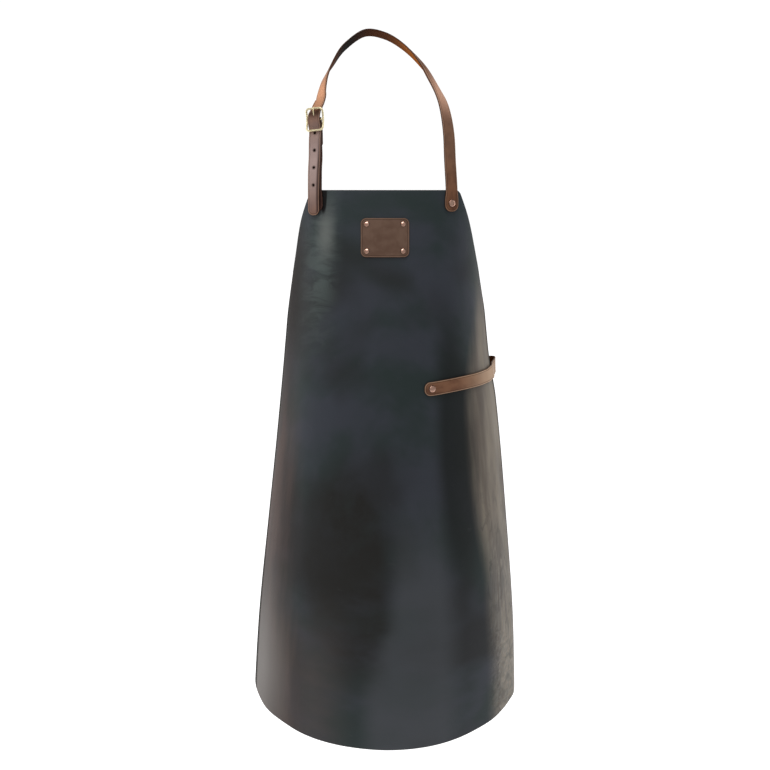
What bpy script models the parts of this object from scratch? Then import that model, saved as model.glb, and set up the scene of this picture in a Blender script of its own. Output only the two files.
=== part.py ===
"""A blacksmith's leather apron as it is worn: one hide wrapped round the front of the wearer,
a buckled neck strap, a towel strap on the hip and a plain patch, all held by rivets.

Metres, +Z up. +X is the wearer's left, the wearer stands at +Y behind the leather, and the
origin is where the neck strap crosses the nape of the neck.
"""

import math
from collections import namedtuple

import bmesh
import bpy
from mathutils import Matrix, Vector

# The hide
LEATHER = 0.0025
BODY_LENGTH = 0.969
HEM_HALF_SPAN = 0.245
HEM_DEPTH = 0.150
HEM_RISE = 0.095
HEM_FULLNESS = 1.7
LOWER_CORNER = 0.096
UPPER_CORNER = 0.008

# How it hangs from the nape
NECK_RISE = 0.2635
NECK_REACH = 0.180
NECK_HALF_SPAN = 0.1085
RIGHT_TAB_OUT = 0.987
LEFT_TAB_OUT = 1.023

# Straps
STRAP_THICKNESS = 0.0028
NECK_STRAP_WIDTH = 0.0210
TAB_WIDTH = 0.0245
TOWEL_STRAP_WIDTH = 0.0235
BUCKLE_STRAP_THICKNESS = 0.0022
TAB_REACH = 0.0350
TAB_RIVET_REACH = 0.0215
TAB_NECK = 0.0180
FREE_END_REACH = 0.0410
FREE_END_OUT = 0.0018
HOLE_RADIUS = 0.0021
HOLE_PITCH = 0.0285
FREE_HOLES = 4
FOLD_RETURN = 0.045
FOLD_GAP = 0.0010

# Buckle
BUCKLE_HEIGHT = 0.1140
BUCKLE_WIDTH = 0.0310
BUCKLE_LENGTH = 0.0380
BUCKLE_WIRE = 0.0013
BUCKLE_CORNER = 0.0050
BUCKLE_BOW = 0.0040
TONGUE_WIRE = 0.0009
TONGUE_HOLE = 0.0019

# Patch
PATCH_WIDTH = 0.078
PATCH_HEIGHT = 0.063
PATCH_THICKNESS = 0.0022
PATCH_CORNER = 0.009
PATCH_DROP = 0.0785
PATCH_RIVET_INSET = 0.0098

# Towel strap
TOWEL_DROP = 0.3345
TOWEL_FRONT_ANGLE = 25.0
TOWEL_REAR_ANGLE = 113.0
TOWEL_STAND_OFF = 0.0115
TOWEL_END = 0.0135

# Rivets
CAP_RADIUS = 0.0060
CAP_HEIGHT = 0.0021
POST_RADIUS = 0.0021
PATCH_CAP_RADIUS = 0.0044
PATCH_CAP_HEIGHT = 0.0017
PATCH_POST_RADIUS = 0.0016
FOLD_CAP_RADIUS = 0.0042
FOLD_CAP_HEIGHT = 0.0009
WASHER_SHARE = 0.85
WASHER_HEIGHT = 0.0009

# Fit
GAP = 0.0003
LEFT_TURN = 20.0
LEFT_LEAN = 0.160
LEFT_SPREAD = 0.021
NAPE_LEAN = 24.0
NECK_LEAD = 0.0130

# Fineness of the meshes
BODY_COLUMNS = 44
BODY_ROWS = 30
STATION_STEP = 0.0085
SHORTEST_STEP = 0.00005
FOLD_STEPS = 8
TIP_STEPS = 5
TIP_ROUND = 0.88
RIVET_SIDES = 12

# The worn hide, level by level. drop is a share of BODY_LENGTH, span and flank of HEM_HALF_SPAN,
# depth and bulge of HEM_DEPTH, and wrap is how far round the leather reaches, in degrees.
# flank is what the towel side stands out beyond the other.
Section = namedtuple("Section", "drop span flank depth bulge wrap")
SECTIONS = [
    Section(0.00, 0.610, 0.000, 0.43, 0.00, 54),
    Section(0.05, 0.627, 0.000, 0.48, 0.02, 64),
    Section(0.12, 0.643, 0.012, 0.57, 0.05, 73),
    Section(0.22, 0.682, 0.018, 0.67, 0.09, 86),
    Section(0.30, 0.717, 0.022, 0.75, 0.11, 107),
    Section(0.37, 0.750, 0.040, 0.81, 0.12, 118),
    Section(0.60, 0.857, 0.033, 0.93, 0.13, 118),
    Section(0.80, 0.943, 0.021, 0.98, 0.12, 111),
    Section(1.00, 0.995, 0.004, 1.00, 0.11, 105),
]

# The neck strap from the rivet on the towel side, over the nape, to the buckle. out is a share of
# NECK_HALF_SPAN, back of NECK_REACH, up of NECK_RISE, and turn is 0 where the strap's face looks
# straight ahead, 90 where it lies on the nape.
NeckRow = namedtuple("NeckRow", "out back up turn")
NECK_ROWS = [
    NeckRow(0.976, -0.833, -0.818, 24),
    NeckRow(0.963, -0.750, -0.665, 26),
    NeckRow(0.930, -0.656, -0.545, 31),
    NeckRow(0.876, -0.533, -0.435, 38),
    NeckRow(0.764, -0.378, -0.315, 53),
    NeckRow(0.612, -0.233, -0.206, 72),
    NeckRow(0.317, -0.086, -0.083, 86),
    NeckRow(0.000, -0.012, -0.004, 90),
    NeckRow(-0.303, 0.000, 0.016, 91),
    NeckRow(-0.625, -0.133, -0.080, 93),
    NeckRow(-0.808, -0.367, -0.206, 97),
    NeckRow(-0.911, -0.556, -0.309, 108),
    NeckRow(-0.957, -0.690, -0.409, 127),
    NeckRow(-0.990, -0.757, -0.458, 143),
]

# The towel strap's way round the hip. share runs from the front rivet to the rear one, lift is a
# share of TOWEL_STAND_OFF and climb of TOWEL_STRAP_WIDTH.
TowelRow = namedtuple("TowelRow", "share lift climb")
TOWEL_ROWS = [
    TowelRow(0.00, 0.00, 0.00),
    TowelRow(0.19, 0.03, 0.22),
    TowelRow(0.41, 0.05, 0.40),
    TowelRow(0.60, 0.08, 0.58),
    TowelRow(0.74, 0.20, 0.74),
    TowelRow(0.86, 0.95, 0.87),
    TowelRow(0.94, 0.00, 0.90),
    TowelRow(1.00, 0.00, 0.90),
]

Node = namedtuple("Node", "point across")
Spot = namedtuple("Spot", "point normal across up")
Finish = namedtuple("Finish", "colour roughness metallic")

HIDE_BLACK = Finish((0.020, 0.026, 0.028), 0.45, 0.0)
STRAP_BROWN = Finish((0.105, 0.050, 0.032), 0.50, 0.0)
PATCH_BROWN = Finish((0.090, 0.055, 0.042), 0.55, 0.0)
BRASS = Finish((0.72, 0.52, 0.20), 0.25, 1.0)
COPPER = Finish((0.62, 0.38, 0.28), 0.30, 1.0)


# Scene and materials

def clear_scene():
    for item in list(bpy.data.objects):
        bpy.data.objects.remove(item, do_unlink=True)


def new_collection(name):
    collection = bpy.data.collections.new(name)
    bpy.context.scene.collection.children.link(collection)
    return collection


def principled(name, finish):
    material = bpy.data.materials.new(name)
    material.use_nodes = True
    shader = material.node_tree.nodes["Principled BSDF"]
    shader.inputs["Base Color"].default_value = (*finish.colour, 1.0)
    shader.inputs["Roughness"].default_value = finish.roughness
    shader.inputs["Metallic"].default_value = finish.metallic
    return material


def add_object(name, mesh, collection, finish=None):
    item = bpy.data.objects.new(name, mesh)
    collection.objects.link(item)
    if finish:
        mesh.materials.append(principled(name + "_finish", finish))
    return item


# Curves through rows

def eased(before, start, end, after, share):
    """A smooth value between two rows, given as (place, value) pairs with their neighbours."""
    span = end[0] - start[0]
    leaving = (end[1] - before[1]) / (end[0] - before[0]) * span
    arriving = (after[1] - start[1]) / (after[0] - start[0]) * span
    a = (1 + 2 * share) * (1 - share) ** 2
    b = share * (1 - share) ** 2
    c = share ** 2 * (3 - 2 * share)
    d = share ** 2 * (share - 1)
    return a * start[1] + b * leaving + c * end[1] + d * arriving


def row_at(rows, place):
    """The row at a place along a table whose first column is that place."""
    place = min(max(place, rows[0][0]), rows[-1][0])
    index = max(i for i in range(len(rows) - 1) if rows[i][0] <= place)
    start, end = rows[index], rows[index + 1]
    before, after = rows[max(index - 1, 0)], rows[min(index + 2, len(rows) - 1)]
    share = (place - start[0]) / (end[0] - start[0])
    values = [
        eased((before[0], before[c]), (start[0], start[c]), (end[0], end[c]), (after[0], after[c]), share)
        for c in range(1, len(start))
    ]
    return type(start)(place, *values)


def corner_inset(distance, radius):
    """How far a rounded corner draws back an edge, at a distance from the corner's end."""
    if distance >= radius:
        return 0.0
    return radius - math.sqrt(max(radius ** 2 - (radius - distance) ** 2, 0.0))


# The worn surface of the hide

def hide_point(angle, drop):
    """A point of the hide's middle surface, at an angle round the wearer from the front."""
    section = row_at(SECTIONS, drop)
    stand_out = section.flank * max(math.sin(angle), 0.0)
    span = HEM_HALF_SPAN * (section.span + stand_out)
    front = -NECK_REACH - HEM_DEPTH * section.bulge
    depth = HEM_DEPTH * section.depth
    return Vector((
        span * math.sin(angle),
        front + depth * (1 - math.cos(angle)),
        -NECK_RISE - BODY_LENGTH * drop,
    ))


def hide_spot(angle, drop, lift=0.0):
    """The same, with the surface's directions there, raised off the leather by lift."""
    step = 1e-4
    across = (hide_point(angle + step, drop) - hide_point(angle - step, drop)).normalized()
    up = (hide_point(angle, drop - step) - hide_point(angle, drop + step)).normalized()
    normal = across.cross(up).normalized()
    up = normal.cross(across)
    return Spot(hide_point(angle, drop) + normal * lift, normal, across, up)


def angle_at(x, drop):
    """The angle at which the hide's front reaches x."""
    low, high = -math.pi / 2, math.pi / 2
    for _ in range(40):
        middle = (low + high) / 2
        if hide_point(middle, drop).x < x:
            low = middle
        else:
            high = middle
    return (low + high) / 2


def half_girth(drop):
    """Flat width of the hide from its middle line to its side edge."""
    section = row_at(SECTIONS, drop)
    reach = math.radians(section.wrap)
    steps = 24
    points = [hide_point(-reach * i / steps, drop) for i in range(steps + 1)]
    return sum((b - a).length for a, b in zip(points, points[1:]))


def make_hide(collection):
    top_girth = half_girth(0.0)
    hem_girth = half_girth(1.0)

    def top_drop(across):
        return corner_inset((1 - abs(across)) * top_girth, UPPER_CORNER) / BODY_LENGTH

    def hem_drop(across):
        rise = HEM_RISE * abs(across) ** HEM_FULLNESS + corner_inset((1 - abs(across)) * hem_girth, LOWER_CORNER)
        return 1.0 - rise / BODY_LENGTH

    surface = bmesh.new()
    grid = []
    for row in range(BODY_ROWS + 1):
        down = row / BODY_ROWS
        line = []
        for column in range(BODY_COLUMNS + 1):
            even = 2 * column / BODY_COLUMNS - 1
            across = 0.5 * even + 0.5 * math.sin(even * math.pi / 2)
            start, end = top_drop(across), hem_drop(across)
            drop = start + (end - start) * down
            reach = math.radians(row_at(SECTIONS, drop).wrap)
            line.append(surface.verts.new(hide_point(across * reach, drop)))
        grid.append(line)
    fill_grid(surface, grid)
    hide = add_object("apron_body", finished_mesh(surface, "apron_body"), collection, HIDE_BLACK)
    solidify(hide, LEATHER)
    return hide


# Sheets and ribbons

def fill_grid(surface, grid):
    for line, below in zip(grid, grid[1:]):
        for i in range(len(line) - 1):
            surface.faces.new((line[i], below[i], below[i + 1], line[i + 1]))


def finished_mesh(surface, name):
    bmesh.ops.recalc_face_normals(surface, faces=surface.faces)
    mesh = bpy.data.meshes.new(name)
    surface.to_mesh(mesh)
    surface.free()
    mesh.shade_smooth()
    return mesh


def solidify(item, thickness):
    modifier = item.modifiers.new("thickness", "SOLIDIFY")
    modifier.thickness = thickness
    modifier.offset = 0.0
    modifier.use_even_offset = True


class Route:
    """A strap's middle line through nodes, measured by distance, with its across direction."""

    def __init__(self, nodes, steps=24):
        self.samples = []
        padded = [nodes[0], *nodes, nodes[-1]]
        for index in range(1, len(padded) - 2):
            for step in range(steps):
                self.samples.append(self.between(padded[index - 1:index + 3], step / steps))
        self.samples.append(nodes[-1])
        self.distances = [0.0]
        for a, b in zip(self.samples, self.samples[1:]):
            self.distances.append(self.distances[-1] + (b.point - a.point).length)
        self.length = self.distances[-1]

    @staticmethod
    def between(four, share):
        """Centripetal curve through the middle two of four nodes."""
        before, start, end, after = four
        knots = [0.0]
        for a, b in zip(four, four[1:]):
            knots.append(knots[-1] + max((b.point - a.point).length, 1e-9) ** 0.5)
        place = knots[1] + (knots[2] - knots[1]) * share

        def mix(low, high, first, last):
            part = (place - low) / (high - low)
            return first.lerp(last, part)

        def through(name):
            values = [getattr(node, name) for node in four]
            if before is start:
                values[0] = values[1] * 2 - values[2]
            if end is after:
                values[3] = values[2] * 2 - values[1]
            a = [mix(knots[i], knots[i + 1], values[i], values[i + 1]) for i in range(3)]
            b = [mix(knots[i], knots[i + 2], a[i], a[i + 1]) for i in range(2)]
            return mix(knots[1], knots[2], b[0], b[1])

        if before is start:
            knots = [knots[2] * -1, 0.0, knots[2], knots[3]]
            place = knots[1] + (knots[2] - knots[1]) * share
        if end is after:
            knots[3] = knots[2] * 2 - knots[1]
        return Node(through("point"), through("across"))

    def at(self, distance):
        """(point, along, across, face) at a distance from the first node."""
        distance = min(max(distance, 0.0), self.length)
        index = next(
            (i for i in range(len(self.distances) - 1) if self.distances[i + 1] >= distance),
            len(self.distances) - 2,
        )
        low, high = self.distances[index], self.distances[index + 1]
        share = (distance - low) / (high - low) if high > low else 0.0
        a, b = self.samples[index], self.samples[index + 1]
        point = a.point.lerp(b.point, share)
        first, last = max(index - 1, 0), min(index + 2, len(self.samples) - 1)
        along = (self.samples[last].point - self.samples[first].point).normalized()
        across = a.across.lerp(b.across, share)
        across = (across - along * across.dot(along)).normalized()
        return point, along, across, across.cross(along).normalized()

    def distance_to(self, target):
        """Distance along the route of the sample nearest to a point."""
        gaps = [(sample.point - target).length for sample in self.samples]
        return self.distances[gaps.index(min(gaps))]


def stations(length, tip_radii, marks=()):
    """Distances along a strap: close together at its rounded ends, at the marks where it bends
    sharply, and even elsewhere."""
    places = set()
    start, end = tip_radii
    for step in range(TIP_STEPS + 1):
        swing = math.pi / 2 * step / TIP_STEPS
        places.add(start * (1 - math.cos(swing)))
        places.add(length - end * (1 - math.cos(swing)))
    middle = length - start - end
    count = max(2, round(middle / STATION_STEP))
    bend = (min(marks), max(marks)) if marks else (length, length)
    even = [start + middle * i / count for i in range(1, count)]
    places.update(place for place in even if not bend[0] < place < bend[1])
    places.update(marks)
    kept = []
    for place in sorted(places):
        if not kept or place - kept[-1] > SHORTEST_STEP:
            kept.append(place)
    return kept


def fine_marks(middle, reach, step):
    """Closer stations either side of a place where a strap bends sharply."""
    count = math.ceil(reach / step)
    return [middle + step * i for i in range(-count, count + 1)]


def make_ribbon(name, route, width_at, tip_radii, thickness, collection, finish, marks=()):
    """A strap that follows a route, with rounded ends."""
    surface = bmesh.new()
    grid = []
    columns = 2
    for place in stations(route.length, tip_radii, marks):
        point, _, across, _ = route.at(place)
        half = width_at(place) / 2
        half -= corner_inset(place, tip_radii[0]) + corner_inset(route.length - place, tip_radii[1])
        grid.append([
            surface.verts.new(point + across * half * (2 * i / columns - 1)) for i in range(columns + 1)
        ])
    fill_grid(surface, grid)
    ribbon = add_object(name, finished_mesh(surface, name), collection, finish)
    solidify(ribbon, thickness)
    return ribbon


# Cutters and rivets

def axis_matrix(point, axis, side=None):
    """A frame at a point with its Z along axis and, where given, its X near side."""
    z = axis.normalized()
    near = side if side else (Vector((1, 0, 0)) if abs(z.x) < 0.9 else Vector((0, 0, 1)))
    x = (near - z * near.dot(z)).normalized()
    y = z.cross(x)
    turned = Matrix((x, y, z)).transposed().to_4x4()
    return Matrix.Translation(point) @ turned


def cut(item, cutter, collection):
    cutter.hide_render = True
    cutter.display_type = "WIRE"
    modifier = item.modifiers.new("cut_" + cutter.name, "BOOLEAN")
    modifier.operation = "DIFFERENCE"
    modifier.solver = "EXACT"
    modifier.object = cutter


def drill(item, name, point, axis, radius, cutters, depth=0.012):
    surface = bmesh.new()
    bmesh.ops.create_cone(
        surface, cap_ends=True, segments=12, radius1=radius, radius2=radius, depth=depth,
        matrix=axis_matrix(point, axis),
    )
    cutter = add_object(name, finished_mesh(surface, name), cutters)
    cut(item, cutter, cutters)


def make_rivet(name, base, normal, front, back, cap, post, collection):
    """A domed rivet. front and back are the heights of the stack's faces from base."""
    cap_radius, cap_height = cap
    top = front + GAP
    foot = back - GAP
    washer = cap_radius * WASHER_SHARE
    rim = cap_height * 0.30
    dome = [
        (cap_radius * math.sin(swing), top + rim + (cap_height - rim) * math.cos(swing))
        for swing in (math.pi / 2 * i / 4 for i in range(5))
    ]
    profile = [
        *dome,
        (cap_radius * 0.94, top),
        (post, top),
        (post, foot),
        (washer, foot),
        (washer, foot - WASHER_HEIGHT * 0.5),
        (washer * 0.8, foot - WASHER_HEIGHT),
        (0.0, foot - WASHER_HEIGHT),
    ]
    mesh = bpy.data.meshes.new(name)
    points = [(x, 0.0, z) for x, z in profile]
    mesh.from_pydata(points, [(i, i + 1) for i in range(len(points) - 1)], [])
    rivet = add_object(name, mesh, collection, COPPER)
    rivet.matrix_world = axis_matrix(base, normal)
    turn = rivet.modifiers.new("turned", "SCREW")
    turn.steps = RIVET_SIDES
    turn.render_steps = RIVET_SIDES
    turn.use_merge_vertices = True
    turn.merge_threshold = 1e-5
    turn.use_normal_calculate = True
    return rivet


# Straps that lie on the bib

def tab_nodes(side):
    """Where a neck strap's riveted end lies on the bib, from its tip up to the bib's top edge."""
    nodes = []
    for reach in (TAB_REACH, TAB_RIVET_REACH, TAB_RIVET_REACH / 2, 0.0):
        nodes.append(tab_spot(side, reach))
    return nodes


def tab_spot(side, reach, lift=None):
    drop = reach / BODY_LENGTH
    if lift is None:
        thickness = STRAP_THICKNESS if side > 0 else BUCKLE_STRAP_THICKNESS
        lift = LEATHER / 2 + GAP + thickness / 2
    out = RIGHT_TAB_OUT if side > 0 else -LEFT_TAB_OUT
    return hide_spot(angle_at(out * NECK_HALF_SPAN, drop), drop, lift)


def tab_width(place):
    """Width of a strap near its riveted tip, which is a little wider than the strap."""
    share = min(max((place - TAB_NECK) / TAB_NECK, 0.0), 1.0)
    ease = share * share * (3 - 2 * share)
    return TAB_WIDTH + (NECK_STRAP_WIDTH - TAB_WIDTH) * ease


class LeftLine:
    """The straight line of the buckle strap above the bib's top edge, and its directions."""

    def __init__(self):
        self.origin = tab_spot(-1, 0.0).point
        self.up = Vector((-LEFT_SPREAD, LEFT_LEAN, 1.0)).normalized()
        turn = math.radians(LEFT_TURN)
        ahead = Vector((-math.sin(turn), -math.cos(turn), 0.0))
        self.ahead = (ahead - self.up * ahead.dot(self.up)).normalized()
        self.across = self.up.cross(self.ahead).normalized()

    def point(self, height, ahead, across=0.0):
        return self.origin + self.up * height + self.ahead * ahead + self.across * across


# Depths of the buckle's pieces ahead of the strap's line
BAR_SPAN = BUCKLE_LENGTH / 2 - BUCKLE_WIRE
END_BARS_AHEAD = BUCKLE_BOW * 0.4
CENTRE_BAR_AHEAD = END_BARS_AHEAD - BUCKLE_BOW
UNDER_BARS = END_BARS_AHEAD - BUCKLE_WIRE - 2 * GAP - STRAP_THICKNESS / 2
OVER_CENTRE = CENTRE_BAR_AHEAD + BUCKLE_WIRE + GAP + BUCKLE_STRAP_THICKNESS + GAP + STRAP_THICKNESS / 2
FOLD_RADIUS = BUCKLE_WIRE + GAP + BUCKLE_STRAP_THICKNESS / 2
FRONT_LAYER = UNDER_BARS - STRAP_THICKNESS / 2 - GAP - BUCKLE_STRAP_THICKNESS / 2 - GAP / 2
BACK_LAYER = FRONT_LAYER - BUCKLE_STRAP_THICKNESS - FOLD_GAP
TONGUE_HEIGHT = 0.36 * BAR_SPAN
FOLD_RIVET_DOWN = BUCKLE_LENGTH / 2 + FOLD_RETURN * 0.32


def neck_strap_route(line):
    lean = math.radians(NAPE_LEAN)
    over = Vector((0.0, math.cos(lean), -math.sin(lean)))
    nodes = [Node(spot.point, spot.across) for spot in tab_nodes(1)]
    landing = line.point(BUCKLE_HEIGHT + BAR_SPAN + NECK_LEAD, UNDER_BARS)
    for row in NECK_ROWS:
        turn = math.radians(row.turn)
        point = Vector((row.out * NECK_HALF_SPAN, row.back * NECK_REACH, row.up * NECK_RISE))
        if row.out < 0:
            point.y *= landing.y / (NECK_ROWS[-1].back * NECK_REACH)
            point.z *= landing.z / (NECK_ROWS[-1].up * NECK_RISE)
        nodes.append(Node(point, Vector((math.cos(turn), 0.0, 0.0)) + over * math.sin(turn)))
    centre = BUCKLE_HEIGHT
    rivet_clear = BUCKLE_STRAP_THICKNESS / 2 + CAP_HEIGHT + STRAP_THICKNESS / 2
    heights = [
        (centre + BAR_SPAN * 1.22, UNDER_BARS - STRAP_THICKNESS * 0.3),
        (centre + BAR_SPAN, UNDER_BARS),
        (centre + BAR_SPAN * 0.45, (UNDER_BARS + 2 * OVER_CENTRE) / 3),
        (centre, OVER_CENTRE),
        (centre - BAR_SPAN * 0.45, (UNDER_BARS + 2 * OVER_CENTRE) / 3),
        (centre - BAR_SPAN, UNDER_BARS),
        (centre - FOLD_RIVET_DOWN, UNDER_BARS + FOLD_CAP_HEIGHT + 2 * GAP),
        (centre - FOLD_RIVET_DOWN - FOLD_RETURN * 0.6, UNDER_BARS + 0.55 * rivet_clear),
        (centre * 0.30, 0.72 * rivet_clear),
    ]
    for height, ahead in heights:
        shift = FREE_END_OUT * max(1 - height / (centre - BAR_SPAN), 0.0)
        nodes.append(Node(line.point(height, ahead, -shift), -line.across))
    for reach in (0.0, FREE_END_REACH):
        spot = tab_spot(-1, reach)
        nodes.append(Node(
            spot.point + spot.normal * rivet_clear - spot.across * FREE_END_OUT, -spot.across,
        ))
    return Route(nodes)


def buckle_strap_route(line):
    nodes = [Node(spot.point, spot.across) for spot in tab_nodes(-1)]
    centre = BUCKLE_HEIGHT
    heights = [
        (centre * 0.30, FRONT_LAYER * 0.35),
        (centre - BAR_SPAN - FOLD_RETURN, FRONT_LAYER),
        (centre - BAR_SPAN - FOLD_RETURN * 0.3, FRONT_LAYER),
        (centre - BAR_SPAN, FRONT_LAYER),
        (centre - FOLD_RADIUS * 2.4, (FRONT_LAYER + 2 * (CENTRE_BAR_AHEAD + FOLD_RADIUS)) / 3),
    ]
    heights += [
        (centre + FOLD_RADIUS * math.sin(swing), CENTRE_BAR_AHEAD + FOLD_RADIUS * math.cos(swing))
        for swing in (math.radians(30 * i) for i in range(7))
    ]
    heights += [
        (centre - FOLD_RADIUS * 2.4, (BACK_LAYER + 2 * (CENTRE_BAR_AHEAD - FOLD_RADIUS)) / 3),
        (centre - BAR_SPAN, BACK_LAYER),
        (centre - BAR_SPAN - FOLD_RETURN * 0.3, BACK_LAYER),
        (centre - BAR_SPAN - FOLD_RETURN * 0.55, BACK_LAYER),
    ]
    nodes += [Node(line.point(height, ahead), line.across) for height, ahead in heights]
    return Route(nodes)


def make_neck_strap(line, collection, cutters):
    route = neck_strap_route(line)
    tips = (TAB_WIDTH / 2 * TIP_ROUND, NECK_STRAP_WIDTH / 2 * TIP_ROUND)
    over_bar = route.distance_to(line.point(BUCKLE_HEIGHT, OVER_CENTRE))
    marks = fine_marks(over_bar, BUCKLE_LENGTH * 0.7, STRAP_THICKNESS)
    strap = make_ribbon(
        "neck_strap", route, tab_width, tips, STRAP_THICKNESS, collection, STRAP_BROWN, marks,
    )
    rivet_spot = tab_spot(1, TAB_RIVET_REACH)
    drill(strap, "neck_strap_rivet_hole", rivet_spot.point, rivet_spot.normal,
          POST_RADIUS + GAP, cutters)
    tongue = tongue_points(line)
    entry, exit_ = tongue[-4], tongue[-2]
    drill(strap, "neck_strap_tongue_hole", (entry + exit_) / 2, exit_ - entry, TONGUE_HOLE, cutters,
          depth=BUCKLE_LENGTH * 0.42)
    tongue_place = route.distance_to(line.point(BUCKLE_HEIGHT + TONGUE_HEIGHT, OVER_CENTRE))
    for number in range(1, FREE_HOLES + 1):
        point, _, _, face = route.at(tongue_place + number * HOLE_PITCH)
        drill(strap, f"neck_strap_hole_{number}", point, face, HOLE_RADIUS, cutters, depth=0.008)
    return strap


def make_buckle_strap(line, collection, cutters):
    route = buckle_strap_route(line)
    tips = (TAB_WIDTH / 2 * TIP_ROUND, NECK_STRAP_WIDTH / 4)
    fold_top = route.distance_to(line.point(BUCKLE_HEIGHT + FOLD_RADIUS, CENTRE_BAR_AHEAD))
    marks = fine_marks(fold_top, math.pi * FOLD_RADIUS, math.pi * FOLD_RADIUS / FOLD_STEPS)
    strap = make_ribbon(
        "buckle_strap", route, tab_width, tips, BUCKLE_STRAP_THICKNESS, collection, STRAP_BROWN, marks,
    )
    rivet_spot = tab_spot(-1, TAB_RIVET_REACH)
    drill(strap, "buckle_strap_rivet_hole", rivet_spot.point, rivet_spot.normal,
          POST_RADIUS + GAP, cutters)
    fold = line.point(BUCKLE_HEIGHT - FOLD_RIVET_DOWN, (FRONT_LAYER + BACK_LAYER) / 2)
    drill(strap, "buckle_strap_fold_hole", fold, line.ahead, PATCH_POST_RADIUS + GAP, cutters)
    slot = bmesh.new()
    bmesh.ops.create_cube(slot, size=1.0)
    slot_object = add_object("buckle_strap_slot", finished_mesh(slot, "buckle_strap_slot"), cutters)
    slot_object.data.transform(Matrix.Diagonal((
        2 * (TONGUE_WIRE + 2 * GAP), 4 * FOLD_RADIUS, 4 * FOLD_RADIUS, 1.0,
    )))
    slot_object.matrix_world = axis_matrix(
        line.point(BUCKLE_HEIGHT, CENTRE_BAR_AHEAD), line.up, line.across,
    )
    cut(strap, slot_object, cutters)
    return strap


# Buckle

def tube(name, points, radius, closed, sides=2):
    """A wire through points, as a mesh object outside any collection."""
    curve = bpy.data.curves.new(name, "CURVE")
    curve.dimensions = "3D"
    curve.bevel_depth = radius
    curve.bevel_resolution = sides
    curve.use_fill_caps = not closed
    spline = curve.splines.new("POLY")
    spline.points.add(len(points) - 1)
    for place, point in zip(spline.points, points):
        place.co = (*point, 1.0)
    spline.use_cyclic_u = closed
    guide = bpy.data.objects.new(name + "_guide", curve)
    bpy.context.scene.collection.objects.link(guide)
    graph = bpy.context.evaluated_depsgraph_get()
    mesh = bpy.data.meshes.new_from_object(guide.evaluated_get(graph))
    bpy.data.objects.remove(guide, do_unlink=True)
    surface = bmesh.new()
    surface.from_mesh(mesh)
    bmesh.ops.remove_doubles(surface, verts=surface.verts, dist=1e-6)
    return finished_mesh(surface, name)


def frame_points(line):
    """The buckle's outline: a rounded rectangle whose ends bow ahead of its middle."""
    half_width = BUCKLE_WIDTH / 2 - BUCKLE_WIRE
    half_length = BAR_SPAN
    points = []
    corners = [(1, 1, 0), (-1, 1, 90), (-1, -1, 180), (1, -1, 270)]
    for x_side, y_side, start in corners:
        centre_x = x_side * (half_width - BUCKLE_CORNER)
        centre_y = y_side * (half_length - BUCKLE_CORNER)
        for step in range(6):
            swing = math.radians(start + 18 * step)
            points.append((
                centre_x + BUCKLE_CORNER * math.cos(swing),
                centre_y + BUCKLE_CORNER * math.sin(swing),
            ))
        rail = x_side * half_width if y_side * x_side < 0 else None
        if rail is not None:
            ends = centre_y, -centre_y
            points += [(rail, ends[0] + (ends[1] - ends[0]) * i / 4) for i in range(1, 4)]
    return [
        line.point(
            BUCKLE_HEIGHT + y,
            CENTRE_BAR_AHEAD + BUCKLE_BOW * min(abs(y) / half_length, 1.0) ** 2,
            x,
        )
        for x, y in points
    ]


def make_buckle(line, collection, cutters):
    frame = add_object(
        "buckle_frame", tube("buckle_frame", frame_points(line), BUCKLE_WIRE, True), collection, BRASS,
    )
    reach = BUCKLE_WIDTH / 2 - BUCKLE_WIRE
    ends = [line.point(BUCKLE_HEIGHT, CENTRE_BAR_AHEAD, side * reach) for side in (-1, 1)]
    bar = add_object("buckle_centre_bar", tube("buckle_centre_bar", ends, BUCKLE_WIRE, False), cutters)
    bar.hide_render = True
    bar.display_type = "WIRE"
    join = frame.modifiers.new("centre_bar", "BOOLEAN")
    join.operation = "UNION"
    join.solver = "EXACT"
    join.object = bar
    tongue = tube("buckle_tongue", tongue_points(line), TONGUE_WIRE, False)
    add_object("buckle_tongue", tongue, collection, BRASS)


def tongue_points(line):
    """The tongue: a hook round the centre bar, then through the strap to rest on the top bar."""
    hook = BUCKLE_WIRE + GAP + TONGUE_WIRE
    rest = END_BARS_AHEAD + BUCKLE_WIRE + GAP + TONGUE_WIRE
    heights = [
        (hook * math.sin(swing), CENTRE_BAR_AHEAD + hook * math.cos(swing))
        for swing in (math.radians(120 + 24 * i) for i in range(10))
    ]
    heights += [
        (hook * 0.7, CENTRE_BAR_AHEAD + hook * 1.02),
        (TONGUE_HEIGHT * 0.80, CENTRE_BAR_AHEAD + hook + 0.45 * (rest - CENTRE_BAR_AHEAD - hook)),
        (TONGUE_HEIGHT * 1.35, rest - 0.10 * (rest - CENTRE_BAR_AHEAD)),
        (BAR_SPAN * 0.80, rest),
        (BAR_SPAN + BUCKLE_WIRE * 1.2, rest),
    ]
    return [line.point(BUCKLE_HEIGHT + height, ahead) for height, ahead in heights]


# Patch and towel strap

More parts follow.
